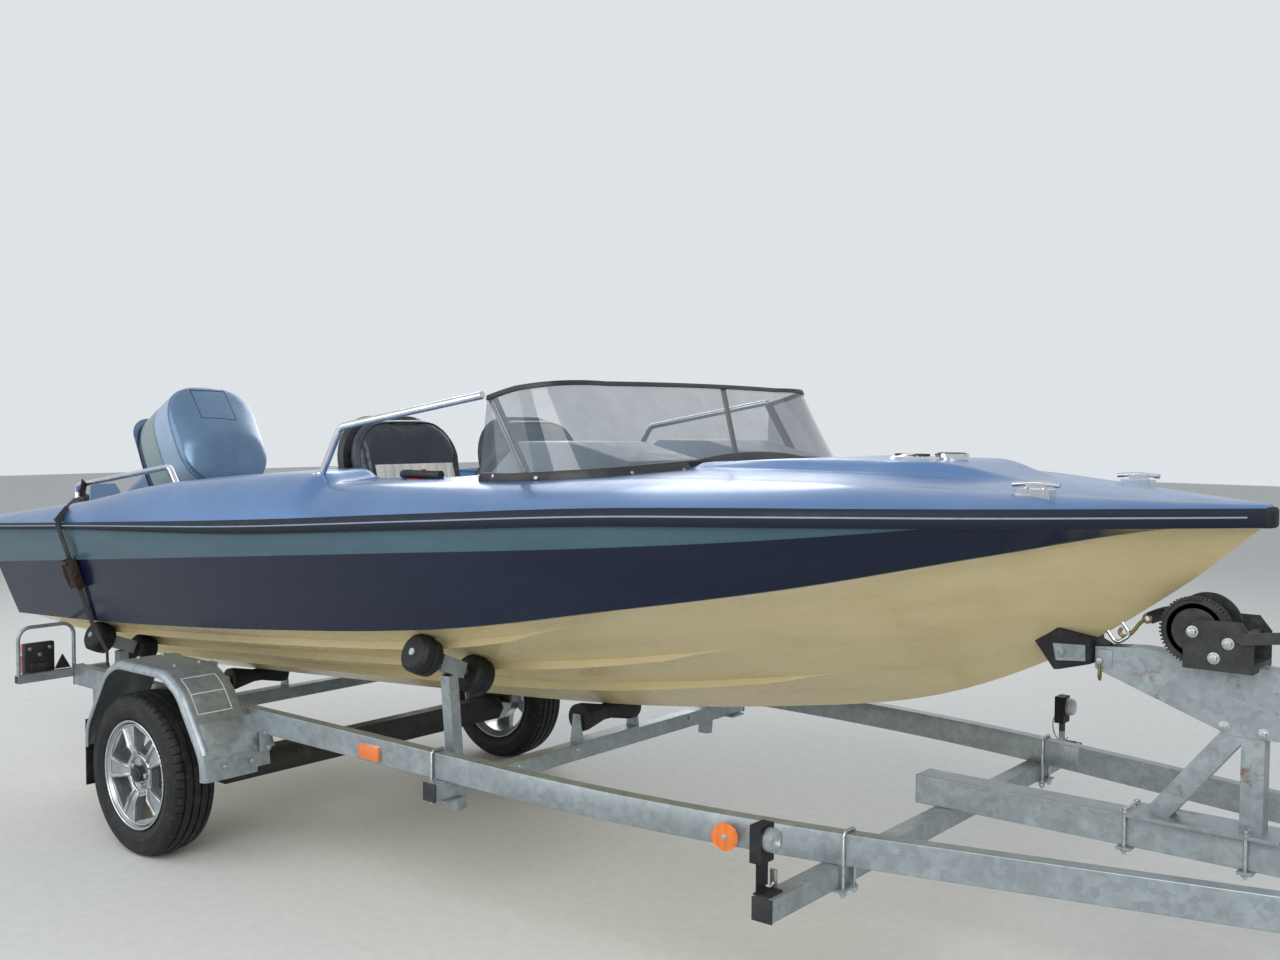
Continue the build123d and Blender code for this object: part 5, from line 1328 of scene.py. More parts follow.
hoops, saddles = [], []
for cross_x, rail_y, ahead, lean in ((MIDDLE_CROSS_X, CHASSIS_Y, -1, 0.0),
                                     (FRONT_CROSS_X, 591.5, 1, RAIL_LEAN)):
    for side in (-1, 1):
        x = cross_x + ahead * (CROSS_HALF + 7.0)
        y = side * (rail_y - lean * (x - cross_x))
        hoops.append(u_bolt(x, y, 26.0, RAIL_LOW_Z - 72.0, RAIL_TOP_Z + 5.5))
        saddles.append(slab("saddle", (cross_x - 42, cross_x + 42), (side * rail_y - 36, side * rail_y + 36),
                            (RAIL_LOW_Z - 56.5, RAIL_LOW_Z - 50.2), 1.5))
for x, y in ((2975.0, 0.0), (3248.0, 0.0)):
    hoops.append(u_bolt(x, y, 46.0, 430.0, 537.0))
    saddles.append(slab("saddle", (x - 18, x + 18), (y - 58, y + 58), (441.5, 447.8), 1.5))
gather("u_bolts", hoops, BOLT_ZINC)
gather("u_bolt_plates", saddles, ZINC)
print("U-bolts:", len(hoops))

# %% [markdown]
# Bolts, caps and reflectors come next. One bolt head is a six-sided peg on a washer, and it
# is stood on each face that the photograph shows bolted.

# %% Chassis bolts and reflectors
chassis_bolts = [bolt(at(MIDDLE_CROSS_X + CROSS_HALF, y, 431), (1, 0, 0)) for y in (-162, 126, -420, 420)]
chassis_bolts += [bolt(at(FRONT_CROSS_X + CROSS_HALF, y, 424), (1, 0, 0)) for y in (-300, 300)]
rail_places = ((96, 495), (144, 495), (96, 465), (144, 465), (-40, 488), (180, 488))
chassis_bolts += side_bolts(715.2, rail_places, 15.0, 8.0)
chassis_bolts += side_bolts(40.2, ((4890, 488), (4850, 488)), 15.0, 8.0)
gather("chassis_bolts", chassis_bolts, BOLT_ZINC)

SIDE_MARK_X, SIDE_MARK_Z = 987.0, 478.0
ROUND_MARK_X, ROUND_MARK_Z = 2247.0, 477.0
RAIL_CORNER_X, RAIL_HALF_THICK = 2084.0, 20.0
RAIL_OUTSIDE_Y = 715.0


def side_marks(side):
    """An amber oblong and an amber disc on the outside of one rail, each on a thin holder."""
    oblong = slab("side_marker", (SIDE_MARK_X - 46, SIDE_MARK_X + 46),
                  outboard(side, RAIL_OUTSIDE_Y + 2, RAIL_OUTSIDE_Y + 9),
                  (SIDE_MARK_Z - 22, SIDE_MARK_Z + 22), 2.5)
    away = Vector((RAIL_LEAN, side, 0)).normalized()
    y = side * (CHASSIS_Y - RAIL_LEAN * (ROUND_MARK_X - RAIL_CORNER_X) + RAIL_HALF_THICK + 0.6)
    centre = at(ROUND_MARK_X, y, ROUND_MARK_Z)
    disc = peg("round_marker", centre + away * 1.5 * MM, centre + away * 9 * MM, 34.0, 48, 2.5)
    ring_out = ring("marker_ring", centre + away * 8 * MM, away, 31.5, 1.8, 48)
    back = slab("marker_back", (SIDE_MARK_X - 48, SIDE_MARK_X + 48),
                outboard(side, RAIL_OUTSIDE_Y, RAIL_OUTSIDE_Y + 3), (SIDE_MARK_Z - 24, SIDE_MARK_Z + 24), 1.0)
    screw = bolt(centre + away * 8 * MM, away, 9.0, 3.0)
    return [oblong, disc, ring_out], [back, screw]


amber, holders = [], []
for side in (-1, 1):
    lit, dull = side_marks(side)
    amber += lit
    holders += dull
gather("side_reflectors", amber, AMBER_LENS, 30.0)
gather("reflector_backs", holders, BOLT_ZINC, 35.0)

caps = []
for side in (-1, 1):
    for x, half, z in ((FRONT_CROSS_X, 893.0, 423.0), (MIDDLE_CROSS_X, 755.0, 423.0)):
        caps.append(slab("end_cap", (x - 26, x + 26), outboard(side, half - 2, half + 4),
                         (z - 26, z + 26), 2.0))
    caps.append(slab("rail_cap", (-764, -759), outboard(side, 674, 716), (447, 524), 2.0))
gather("tube_end_caps", caps, BLACK_TRIM, 35.0)
print("reflectors, bolts and caps made")

# %% [markdown]
# ## Winch and bow stop
# The winch is a toothed wheel on the end of a drum. The teeth are in its outline, which
# steps between two radii all the way round. The webbing is wound on the drum in layers, so
# its turned section is stepped at the edges.

# %% Winch drum, gear and webbing
DRUM_X, DRUM_Z = 3130.0, 990.0
GEAR_TEETH = 54


def toothed_wheel(name, y, width, radius, depth, teeth):
    outline = []
    for k in range(teeth * 4):
        r = radius if k % 4 < 2 else radius - depth
        turn = 2 * pi * (k + (0.15 if k % 2 else -0.15)) / (teeth * 4)
        outline.append(at(DRUM_X + r * cos(turn), y, DRUM_Z + r * sin(turn)))
    return plate(name, outline, (0, width * MM, 0))


drum_middle = at(DRUM_X, 0, DRUM_Z)
GEAR_FACE = ((-67.5, 20), (-67.5, 50), (-66, 52), (-66, 62), (-68.5, 64), (-68.5, 70), (-66, 72), (-65, 62),
             (-65, 20))
FLANGE = ((48, 20), (48, 76), (49.5, 78), (51.5, 77.5), (52, 75), (52, 20))
gear = toothed_wheel("winch_gear", -66.0, 10.0, 80.0, 5.5, GEAR_TEETH)
gear_face = spun("gear_face", drum_middle, (0, 1, 0), GEAR_FACE, 64)
flanges = [spun("drum_flange", drum_middle, (0, 1, 0), [(s * a, r) for a, r in FLANGE], 64) for s in (-1, 1)]
winch_wheel = gather("winch_gear", [gear, gear_face] + flanges, BLACK_PAINT, 35.0)
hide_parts("winch_drum")
layers = [(-25.5, 12.0)]
for k in range(9):
    layers += [(-25.5 + (k % 2) * 0.8, 34.0 + 3.0 * k), (-25.5 + (k % 2) * 0.8, 36.6 + 3.0 * k)]
layers += [(-24.0, 61.5), (24.0, 61.5)] + [(-a, r) for a, r in reversed(layers)]
winding = spun("wound_webbing", drum_middle, (0, 1, 0), layers, 64)
finish(winding, BOAT, WEBBING, 35.0)
print("winch gear teeth:", GEAR_TEETH)

# %% [markdown]
# Small steel parts make the winch look used: zinc bolts in its black side plates, a hook
# and a shackle where the webbing meets the boat's eye, and bolts through the arm.

# %% Winch bolts, hook and shackle
winch_bolts = side_bolts(82.0, ((DRUM_X, DRUM_Z), (3208, 970), (3178, 934)), 16.0, 7.0)
winch_bolts += side_bolts(30.0, ((3191, 770), (3275, 765), (2902, 888)), 15.0, 7.0)
winch_bolts += [bolt(at(x, y, 533), (0, 0, 1), 13.0, 8.0) for x in (2975, 3248) for y in (-46, 46)]
gather("winch_bolts", winch_bolts, BOLT_ZINC)
tip_plates = [slab("tip_plate", (2892, 2932), outboard(side, 30, 32.5), (872, 916), 2.0) for side in (-1, 1)]
gather("arm_tip_plates", tip_plates, ZINC, 35.0)
HOOK_PATH = ((2997, 995), (2986, 985), (2975, 970), (2962, 955), (2948, 949), (2938, 957), (2942, 969))
SHACKLE_PATH = ((-33, 880), (-39, 864), (-37, 846), (-31, 842), (-27, 852), (-29, 872))
hook = tube_along("webbing_hook", [at(x, 0, z) for x, z in HOOK_PATH], 4.6)
eyelet = ring("hook_eyelet", at(3003, 0, 998), (0, 1, 0), 9.5, 3.4, 32)
shackle = tube_along("shackle", [at(2903, y, z) for y, z in SHACKLE_PATH], 3.0)
BRASS = worn_metal("tarnished brass hook", "#8f7d52", "#5b452e", 0.8, 0.3, 0.55, 14.0)
gather("winch_hook", (hook, eyelet, shackle), BRASS)

# %% Webbing from drum to hook
WEBBING_START = at(3008, 0, 1000)
HALF_AT_HOOK, HALF_AT_DRUM = 14.0, 25.0
TWIST_AT_HOOK = radians(78.0)
strap_corners = [corner.co for corner in nodes["winch_strap"].data.vertices]
strap_reach = max(corner.x for corner in strap_corners)
at_drum = [corner for corner in strap_corners if corner.x > strap_reach - 0.008]
WEBBING_END = Vector((strap_reach, 0, sum(corner.z for corner in at_drum) / len(at_drum)))
strap, corners = grid("webbing_run", 30, 6)
run = WEBBING_END - WEBBING_START
upright = Vector((0, 1, 0)).cross(run).normalized()
for vertex, share, v in corners:
    off = 2 * v - 1
    flat = share * share * (3 - 2 * share)
    half = (HALF_AT_HOOK + (HALF_AT_DRUM - HALF_AT_HOOK) * flat) * MM
    turn = TWIST_AT_HOOK * (1 - flat)
    curl = 5.0 * MM * (1 - flat) * off * off
    across = Vector((0, cos(turn), 0)) + upright * sin(turn)
    vertex.co = WEBBING_START + run * share + across * off * half + across.cross(run).normalized() * curl
use_modifier(strap, "SOLIDIFY", thickness=4.0 * MM, offset=0.0)
finish(strap, BOAT, WEBBING, 50.0)
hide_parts("winch_strap")
print("winch fittings made")

# %% [markdown]
# ## Lamps
# The front marker lamps have a rounded clear lens in a rubber holder, with a loop of wire
# behind. The rear lamps show their black backs to the camera and their red and amber lenses
# to the road behind, with a triangular reflector beside them.

# %% Lamps
LENS_X, LAMP_Y, LENS_Z = 2501.0, 858.0, 566.0
LENS_SECTION = ((-13.5, 10.0), (-13.5, 24.0), (-12.0, 26.8), (3.0, 26.8), (9.0, 24.5), (12.5, 18.0),
                (13.8, 8.0), (13.9, 1.0))
CUP_SECTION = ((-12.0, 1.0), (-12.0, 12.0), (-4.0, 23.0), (-4.5, 24.0), (-13.0, 13.0), (-13.0, 1.0))
WIRE_PATH = ((2458, 850, 540), (2449, 846, 520), (2452, 842, 486), (2466, 842, 462), (2484, 844, 458),
             (2496, 848, 470))


def front_lamp(side):
    middle = at(LENS_X, side * LAMP_Y, LENS_Z)
    clear = spun("front_lens", middle, (1, 0, 0), LENS_SECTION, 48)
    cup = spun("lamp_cup", middle, (1, 0, 0), CUP_SECTION, 40)
    bezel = ring("lamp_bezel", at(LENS_X - 13, side * LAMP_Y, LENS_Z), (1, 0, 0), 27.0, 2.6, 40)
    wire = tube_along("lamp_wire", [at(x, side * y, z) for x, y, z in WIRE_PATH], 2.2)
    clip = slab("lamp_clip", (2476, 2492), outboard(side, 824, 832), (450, 492), 1.0)
    return clear, cup, bezel, wire, clip


lenses, cups, bezels, wires, clips = zip(*[front_lamp(side) for side in (-1, 1)])
front_glass = gather("front_lenses", lenses, CLEAR_LENS, 35.0)
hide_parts("front_lamps")
gather("front_lamp_cups", cups, STAINLESS, 35.0)
gather("front_lamp_bezels", bezels, BLACK_RUBBER, 35.0)
gather("front_lamp_wires", wires, WHITE_PLASTIC, 35.0)
gather("front_lamp_clips", clips, BOLT_ZINC, 35.0)

red_parts, amber_parts, black_parts, rear_bolts = [], [], [], []
for side in (-1, 1):
    black_parts.append(slab("lamp_back", (-814, -790), outboard(side, 772, 888), (500, 620), 5.0))
    black_parts.append(slab("lamp_foot", (-792, -783), outboard(side, 790, 870), (508, 545), 1.5))
    red_parts.append(slab("red_lens", (-836.5, -812), outboard(side, 776, 884), (504, 574), 5.0))
    amber_parts.append(slab("amber_lens", (-836.5, -812), outboard(side, 776, 884), (577, 616), 5.0))
    triangle = [at(-792, side * y, z) for y, z in ((712, 512), (772, 512), (742, 566))]
    red_parts.append(round_edges(plate("triangle", triangle, (-6 * MM, 0, 0)), 1.5))
    black_parts.append(round_edges(plate("triangle_back", triangle, (4 * MM, 0, 0)), 1.0))
    rear_bolts += [bolt(at(-789.5, side * y, z), (1, 0, 0), 9.0, 3.0)
                   for y, z in ((792, 600), (868, 600), (830, 575))]
rear_glass = gather("rear_red_lenses", red_parts, RED_LENS, 35.0)
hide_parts("rear_lamps")
gather("rear_amber_lenses", amber_parts, AMBER_LENS, 35.0)
gather("rear_lamp_backs", black_parts, BLACK_TRIM, 35.0)
gather("rear_lamp_bolts", rear_bolts, BOLT_ZINC)
print("lamps made")

# %% [markdown]
# ## Outboard engine
# The engine is drawn upright about its tilt tube and then turned, as the solid model does,
# so that its own sections stay level. The cowl is a stack of rounded ovals. They swell a
# little, turn in at a crisp shoulder and close in a flat top, which is then lifted to a ridge.

# %% Cowl
PIVOT = (-1214.0, 1000.0)
TILT = radians(62.0)
COWL_MIDDLE_X = -190.0
COWL_HALF_X, COWL_HALF_Y = 235.0, 209.0
COWL_SQUARENESS = 2.9
# Height in the upright engine, and how much of the full oval is left there
COWL_LEVELS = (
    (188, 0.90), (190, 0.975), (196, 0.982), (222, 0.99), (225, 0.99), (300, 1.0), (346, 1.0), (349, 1.0),
    (420, 1.0), (466, 0.997), (472, 0.992), (475, 0.98), (477, 0.965), (479, 0.93), (480, 0.8), (480, 0.65),
    (480, 0.5), (480, 0.35), (480, 0.2), (480, 0.1), (480, 0.0),
)
COWL_TOP_SHARE, COWL_SHOULDER_Z = 0.97, 472
CREST_X, CREST_RISE = -150.0, 74.0
COWL_SIDES = 96


def on_engine(x, y, z):
    """A place on the upright engine, turned to where the engine is parked."""
    return at(PIVOT[0] + x * cos(TILT) + z * sin(TILT), y, PIVOT[1] - x * sin(TILT) + z * cos(TILT))


def oval(turn, share, grow=0.0):
    """A point of the cowl's outline, part way between an ellipse and a box."""
    c, s = cos(turn), sin(turn)
    reach = (abs(c) ** COWL_SQUARENESS + abs(s) ** COWL_SQUARENESS) ** (-1 / COWL_SQUARENESS)
    return (COWL_MIDDLE_X + (COWL_HALF_X * share + grow) * c * reach,
            (COWL_HALF_Y * share + grow) * s * reach)


def crest(x, y):
    """How far the top rises: a ridge across the engine, highest ahead of the middle."""
    reach = CREST_X - (COWL_MIDDLE_X - COWL_HALF_X) if x < CREST_X else COWL_MIDDLE_X + COWL_HALF_X - CREST_X
    along = max(0.0, 1 - abs(x - CREST_X) / reach)
    across = max(0.0, 1 - (y / COWL_HALF_Y) ** 2)
    return CREST_RISE * (1 - (1 - along) ** 1.35) * across ** 0.7


def stacked(name, levels, grow=0.0):
    """Ovals one above the other, joined to a skin. The flat top is lifted to its crest."""
    obj, corners = grid(name, COWL_SIDES, len(levels) - 1)
    for vertex, u, v in corners:
        z, share = levels[round(v * (len(levels) - 1))]
        x, y = oval(2 * pi * u, share, grow)
        on_top = share < COWL_TOP_SHARE and z > COWL_SHOULDER_Z
        vertex.co = on_engine(x, y, z + (crest(x, y) if on_top else 0.0))
    return outward(obj)


def cowl_height(x, y):
    """How high the top stands at a place on the upright engine."""
    return COWL_LEVELS[-1][0] + crest(x, y)


cowl = stacked("engine_cover", COWL_LEVELS)
finish(cowl, "engine_steered", ENGINE_GREY, 30.0)
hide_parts("engine_cowl")
print("cowl faces:", len(cowl.data.polygons))

# %% [markdown]
# Round the foot of the cowl runs a painted band with a dark stripe below it. Above them, up
# to the shoulder, the side is a lighter copy of the engine blue than the top: a painted
# highlight on the lit side. Each is a thin skin, half a millimetre proud, made by the same
# function. The access panel on top is a seam, so a dark line is laid there.

# %% Band, stripe, seams and latches
STRIPE_PAINT = worn_metal("navy cowl stripe", "#12284a", "#1d3354", 0.1, 0.2, 0.35, 150.0)
BAND_PAINT = worn_metal("pale cowl band", "#8fa2a3", "#7d9091", 0.15, 0.25, 0.4, 150.0)
# A lighter engine blue for the cowl's upper side: a painted highlight against the darker top.
COWL_SIDE_HIGHLIGHT = worn_metal("cowl side painted highlight", "#9fb6cc", "#90a7bd", 0.2, 0.2, 0.35, 150.0)
for name, levels, material in (
    ("cowl_stripe", ((197, 0.9825), (221, 0.9895)), STRIPE_PAINT),
    ("cowl_band", ((226, 0.9905), (299, 1.0), (344, 1.0)), BAND_PAINT),
    # The upper side band is a painted highlight.
    ("cowl_side_highlight_band", ((351, 1.0), (420, 1.0), (465, 0.997)), COWL_SIDE_HIGHLIGHT),
):
    finish(stacked(name, levels, 0.6), "engine_steered", material, 30.0)

PANEL = ((-402, -78), (-246, -92), (-232, 66), (-396, 84))
LATCH = ((-1, 176), (1, 176), (1, 214), (-1, 214))
seam_lines = []
for (x0, y0), (x1, y1) in zip(PANEL, PANEL[1:] + PANEL[:1]):
    run = [(x0 + (x1 - x0) * k / 10, y0 + (y1 - y0) * k / 10) for k in range(11)]
    seam_lines.append(tube_along("seam", [on_engine(x, y, cowl_height(x, y) - 0.4) for x, y in run], 1.5))
rim_line = [(*oval(2 * pi * k / 60, 0.984, 0.2), 193) for k in range(61)]
seam_lines.append(tube_along("pan_seam", [on_engine(*p) for p in rim_line], 2.4, ends=False))
finish(join("cowl_seams", *seam_lines), "engine_steered", BLACK_RUBBER, 35.0)
latches = []
for x, lean in ((50, 1), (-430, -1)):
    thick = on_engine(lean * 11, 0, 0) - on_engine(0, 0, 0)
    latch = plate("latch", [on_engine(x - lean * 6, s * 24, z) for s, z in LATCH], thick)
    latches.append(round_edges(latch, 3.0, 3))
finish(join("cowl_latches", *latches), "engine_steered", BLACK_TRIM, 35.0)
print("cowl trim made")

# %% [markdown]
# A propeller blade is a thin plate that twists from root to tip, because the tip moves
# faster than the root. So a grid is laid out with its pitch angle falling along the blade,
# given a thickness, and turned twice by a third of a circle.

# %% Propeller
PROP_X, PROP_Z = -348.0, -660.0
BLADE_BEHIND, BLADE_SWEEP = 44.0, 0.16
# Along one blade: distance from the shaft, width, and pitch in degrees
BLADE_ROWS = ((30.0, 34.0, 62.0), (55.0, 62.0, 46.0), (85.0, 86.0, 34.0), (112.0, 84.0, 27.0),
              (128.0, 60.0, 23.0), (134.5, 26.0, 21.0))


def blade(turn):
    obj, corners = grid("blade", len(BLADE_ROWS) - 1, 8)
    for vertex, u, v in corners:
        radius, width, pitch = BLADE_ROWS[round(u * (len(BLADE_ROWS) - 1))]
        along, lean = v - 0.5, radians(pitch)
        x = PROP_X - BLADE_BEHIND + along * width * sin(lean)
        aside = along * width * cos(lean) + BLADE_SWEEP * width
        camber = 4.0 * (1 - (2 * along) ** 2)
        vertex.co = on_engine(x - camber, aside * cos(turn) - radius * sin(turn),
                              PROP_Z + aside * sin(turn) + radius * cos(turn))
    in_edit(obj, bpy.ops.mesh.normals_make_consistent, inside=False)
    use_modifier(obj, "SOLIDIFY", thickness=4.0 * MM, offset=0.0)
    use_modifier(obj, "SUBSURF", levels=2, render_levels=2)
    return outward(obj)


prop_axis = on_engine(-1, 0, 0) - on_engine(0, 0, 0)
HUB_SECTION = ((0, 12.2), (0, 38), (4, 40), (40, 39), (84, 34), (96, 27), (97, 22), (90, 20), (84, 12.2))
prop_hub = spun("prop_hub", on_engine(PROP_X, 0, PROP_Z), prop_axis, HUB_SECTION, 48)
nut = peg("prop_nut", on_engine(PROP_X - 94, 0, PROP_Z), on_engine(PROP_X - 108, 0, PROP_Z), 13.0, 6, 1.5)
propeller = join("propeller_blades", prop_hub, nut, *[blade(2 * pi * k / 3) for k in range(3)])
finish(propeller, "propeller", PROPELLER_BLACK, 35.0)
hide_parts("propeller")

clamp_parts = []
CLAMP_SCREW_Y = 128
for y in (-CLAMP_SCREW_Y, CLAMP_SCREW_Y):
    clamp_parts.append(peg("clamp_screw", at(-1172, y, 868), at(-1106, y, 868), 8.0, 20, 1.0))
    clamp_parts.append(peg("clamp_bar", at(-1104, y - 34, 860), at(-1104, y + 34, 876), 5.0, 16, 1.0))
    for k in range(9):
        clamp_parts.append(ring("thread", at(-1168 + 5 * k, y, 868), (1, 0, 0), 8.0, 1.0, 24))
gather("transom_clamps", clamp_parts, BOLT_ZINC)
print("propeller and clamps made")

# %% [markdown]
# ## Seats
# A cushion is foam in a sewn cover. Each one starts as a plain block a little smaller than
# its place, is rebuilt from small even faces, and is then blown up for a moment by a cloth
# simulation. A limit on how far a point may move keeps it inside the seat. Its bottom stays
# flat, because it rests on the shell.

# %% Puffed pads
SIMULATION_STEPS = 20


def puff(obj, grid_mm, limit_mm, rest_z=None):
    """Swell a closed pad, then smooth it. Its underside may be kept at one height."""
    use_modifier(obj, "REMESH", mode="VOXEL", voxel_size=grid_mm * MM)
    before = [vertex.co.copy() for vertex in obj.data.vertices]
    after = before
    scene = bpy.context.scene
    hold(obj)
    cloth = obj.modifiers.new("Cloth", "CLOTH")
    cloth.settings.use_pressure = True
    cloth.settings.uniform_pressure_force = 4.0
    cloth.settings.effector_weights.gravity = 0.0
    for step in range(1, SIMULATION_STEPS + 1):
        scene.frame_set(step)
    shaped = obj.evaluated_get(bpy.context.evaluated_depsgraph_get())
    after = [vertex.co.copy() for vertex in shaped.data.vertices]
    obj.modifiers.remove(cloth)
    scene.frame_set(1)
    for vertex, old, new in zip(obj.data.vertices, before, after):
        move = new - old
        vertex.co = old + move * min(1.0, limit_mm * MM / max(move.length, 1e-9))
        if rest_z is not None:
            vertex.co.z = max(vertex.co.z, rest_z * MM)
    use_modifier(obj, "SMOOTH", factor=0.5, iterations=2)
    return use_modifier(obj, "SUBSURF", levels=1, render_levels=1)


def sewn_line(obj, measure_off, width_mm, depth_mm, inward):
    """Pull the cover in along a line, as stitching does. measure_off gives millimetres from it."""
    for vertex in obj.data.vertices:
        off = abs(measure_off(vertex.co))
        if off < width_mm:
            vertex.co += inward * depth_mm * MM * (1 - off / width_mm) ** 2
    return obj


def along_cover(obj, points, lift_mm=0.0):
    """The nearest places on the cover to a row of points."""
    found = []
    for point in points:
        hit, place, normal, face = obj.closest_point_on_mesh(point)
        found.append(place + normal * lift_mm * MM)
    return found


def rounded_front(half, low, high, radius, foot_half=None):
    """A seat back's outline seen from ahead, with round shoulders: (out, up)."""
    foot = foot_half or half
    points = [(-foot, low), (foot, low)]
    for side, first in ((1, 0), (-1, 90)):
        for k in range(10):
            turn = radians(first + 90 * k / 9)
            points.append((side * (half - radius) + radius * cos(turn), high - radius + radius * sin(turn)))
    return points


# %% [markdown]
# The seat back leans, so it is drawn upright and then each corner is moved to the lean that
# the solid model gives. Its shoulders are round and its foot is narrower than its middle.

# %% Seat backs and seat pads
SEAT_Y = 312.0
BACK_LOW_Z, BACK_TOP_Z = 1075.3, 1488.0
BACK_REAR_X, BACK_FRONT_X = (700.0, 611.0), (790.0, 680.0)
PAD_X, PAD_Z = (712.0, 1060.0), (955.3, 1075.0)
PAD_EDGE = ((730, -200), (1035, -200), (1050, -180), (1050, 180), (1035, 200), (730, 200))
SEAM_OUT, FAR_OFF = 188.0, 99.0
SHRINK = 11.0


def lean_at(z):
    """Rear and front of the seat back at a height."""
    share = (z - BACK_LOW_Z) / (BACK_TOP_Z - BACK_LOW_Z)
    return (BACK_REAR_X[0] + (BACK_REAR_X[1] - BACK_REAR_X[0]) * share,
            BACK_FRONT_X[0] + (BACK_FRONT_X[1] - BACK_FRONT_X[0]) * share)


def seat_back():
    outline = rounded_front(245.0 - SHRINK, BACK_LOW_Z + 3.0, BACK_TOP_Z - SHRINK, 150.0, 214.0)
    block = plate("seat_back_left", [at(0, SEAT_Y + y, z) for y, z in outline], (1.0, 0, 0))
    for vertex in block.data.vertices:
        rear, front = lean_at(vertex.co.z / MM)
        ahead = vertex.co.x > WHEEL_X + 0.5
        vertex.co.x = WHEEL_X + (front - SHRINK if ahead else rear + SHRINK) * MM
    use_modifier(block, "BEVEL", width=22 * MM, segments=3, limit_method="ANGLE", angle_limit=radians(50))
    puff(block, 9.0, 15.0, BACK_LOW_Z + 0.5)
    bottom = at(0, 0, BACK_LOW_Z).z

    def off_seam(co):
        return (abs(co.y - SEAT_Y * MM) / MM - SEAM_OUT) if co.z > bottom + 0.02 else FAR_OFF

    return sewn_line(block, off_seam, 7.0, 6.0, Vector((-0.97, 0, -0.24)))


def seat_pad():
    block = slab("seat_pad_left", (PAD_X[0] + SHRINK, PAD_X[1] - SHRINK), (SEAT_Y - 224, SEAT_Y + 224),
                 (PAD_Z[0] + 3, PAD_Z[1] - 9))
    use_modifier(block, "BEVEL", width=26 * MM, segments=3)
    return puff(block, 9.0, 12.0, PAD_Z[0] + 0.5)


def piping(name, cover, points, radius_mm=3.2):
    """A round welt that follows the cover's edge."""
    path = along_cover(cover, points, 0.4)
    return tube_along(name, path + path[:1], radius_mm, ends=False, resolution=3)


back = seat_back()
finish(back, BOAT, NAVY_VINYL, 60.0)
front_welt = [at(lean_at(z)[1] + 4, SEAT_Y + y * 1.02, z)
              for y, z in rounded_front(226.0, 1110.0, 1468.0, 142.0, 206.0)]
welts = [piping("back_welt", back, front_welt)]
pad = seat_pad()
finish(pad, BOAT, NAVY_VINYL, 60.0)
welts.append(piping("pad_welt", pad, [at(x, SEAT_Y + y, 1066) for x, y in PAD_EDGE]))
welt = gather("seat_welts_left", welts, BLACK_TRIM, 60.0)
back_right = finish(twin(back, "seat_back_right"), BOAT, NAVY_VINYL, 60.0)
pad_right = finish(twin(pad, "seat_pad_right"), BOAT, NAVY_VINYL, 60.0)
finish(twin(welt, "seat_welts_right"), BOAT, BLACK_TRIM, 60.0)
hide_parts("seat_cushions")


def seat_shell():
    """A moulded pan under the pad and a thin shell behind the back, with the same shoulders."""
    outline = rounded_front(226.0, 957.0, BACK_TOP_Z - 12.0, 150.0, 205.0)
    shell = plate("seat_shell_left", [at(0, SEAT_Y + y, z) for y, z in outline], (1.0, 0, 0))
    for vertex in shell.data.vertices:
        rear = 670.0 - 90.0 * (vertex.co.z / MM - 955.3) / 520.7
        vertex.co.x = at(rear + (29.0 if vertex.co.x > WHEEL_X + 0.5 else 0.0), 0, 0).x
    round_edges(shell, 9.0, 3, 40.0)
    pan = slab("seat_pan", (661, 1019), (SEAT_Y - 169, SEAT_Y + 169), (782, 954.5), 14.0)
    return join("seat_shell_left", shell, pan)


shell = seat_shell()
both_sides(shell, BLACK_TRIM, 40.0)
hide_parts("seat_shells")
print("seat back faces:", len(back.data.polygons), "pad faces:", len(pad.data.polygons))

# %% [markdown]
# A white ribbed panel is sewn into the lower half of each seat back and into the middle of
# the pad. Rays find the cover below each point of a grid, and the ribs stand up from it.

# %% Ribbed panels
RIBS = 9


def ribbed_panel(name, cover, corner, across, along, look_way, lift_mm=1.5, rib_mm=6.0):
    """A grid thrown on to a cover, with ribs that run along it."""
    panel, corners = grid(name, 8 * RIBS, 16)
    for vertex, u, v in corners:
        start = corner + across * u + along * v - look_way * 0.2
        hit, place, normal, face = cover.ray_cast(start, look_way)
        base = place if hit else start + look_way * 0.2
        edge = min(1.0, 12 * min(u, 1 - u), 12 * min(v, 1 - v))
        rib = abs(sin(pi * RIBS * u)) ** 0.6
        vertex.co = base - look_way * (lift_mm * edge + rib_mm * rib * edge - 1.0) * MM
    in_edit(panel, bpy.ops.mesh.normals_make_consistent, inside=False)
    return panel


back_panel = ribbed_panel("back_panel_left", back, at(700, SEAT_Y - 168, 1106), Vector((0, 0.336, 0)),
                          Vector((0, 0, 0.212)), Vector((-1, 0, 0)))
pad_panel = ribbed_panel("pad_panel_left", pad, at(770, SEAT_Y - 168, 1060), Vector((0, 0.336, 0)),
                         Vector((0.25, 0, 0)), Vector((0, 0, -1)))
panels = []
for panel in (back_panel, pad_panel):
    use_modifier(panel, "SOLIDIFY", thickness=2.0 * MM, offset=-1.0)
    panels += [panel, both_sides(panel, WHITE_VINYL, 60.0)]
print("ribbed panels:", len(panels))

# %% [markdown]
# The bench across the stern is one long pad with two sewn channels, and a lower pad stands
# behind it.

# %% Bench pads
BENCH_HALF, BENCH_BACK_HALF = 568.0, 510.0
BENCH_Z = 985.3
BENCH_EDGE = ((-180, -548), (60, -548), (60, -275), (60, 0), (60, 275), (60, 548), (-180, 548))


def bench_pad(name, x, half, z, limit_mm):
    block = slab(name, (x[0] + SHRINK, x[1] - SHRINK), (-half + SHRINK, half - SHRINK), (z[0] + 3, z[1] - 10))
    use_modifier(block, "BEVEL", width=22 * MM, segments=3)
    puff(block, 11.0, limit_mm, z[0] + 0.5)
    for seam_y in (-0.19, 0.19):
        def off_seam(co, y=seam_y):
            return (co.y - y) / MM if co.z > (z[0] + 30) * MM else FAR_OFF

        sewn_line(block, off_seam, 9.0, 8.0, Vector((0, 0, -1)))
    return block


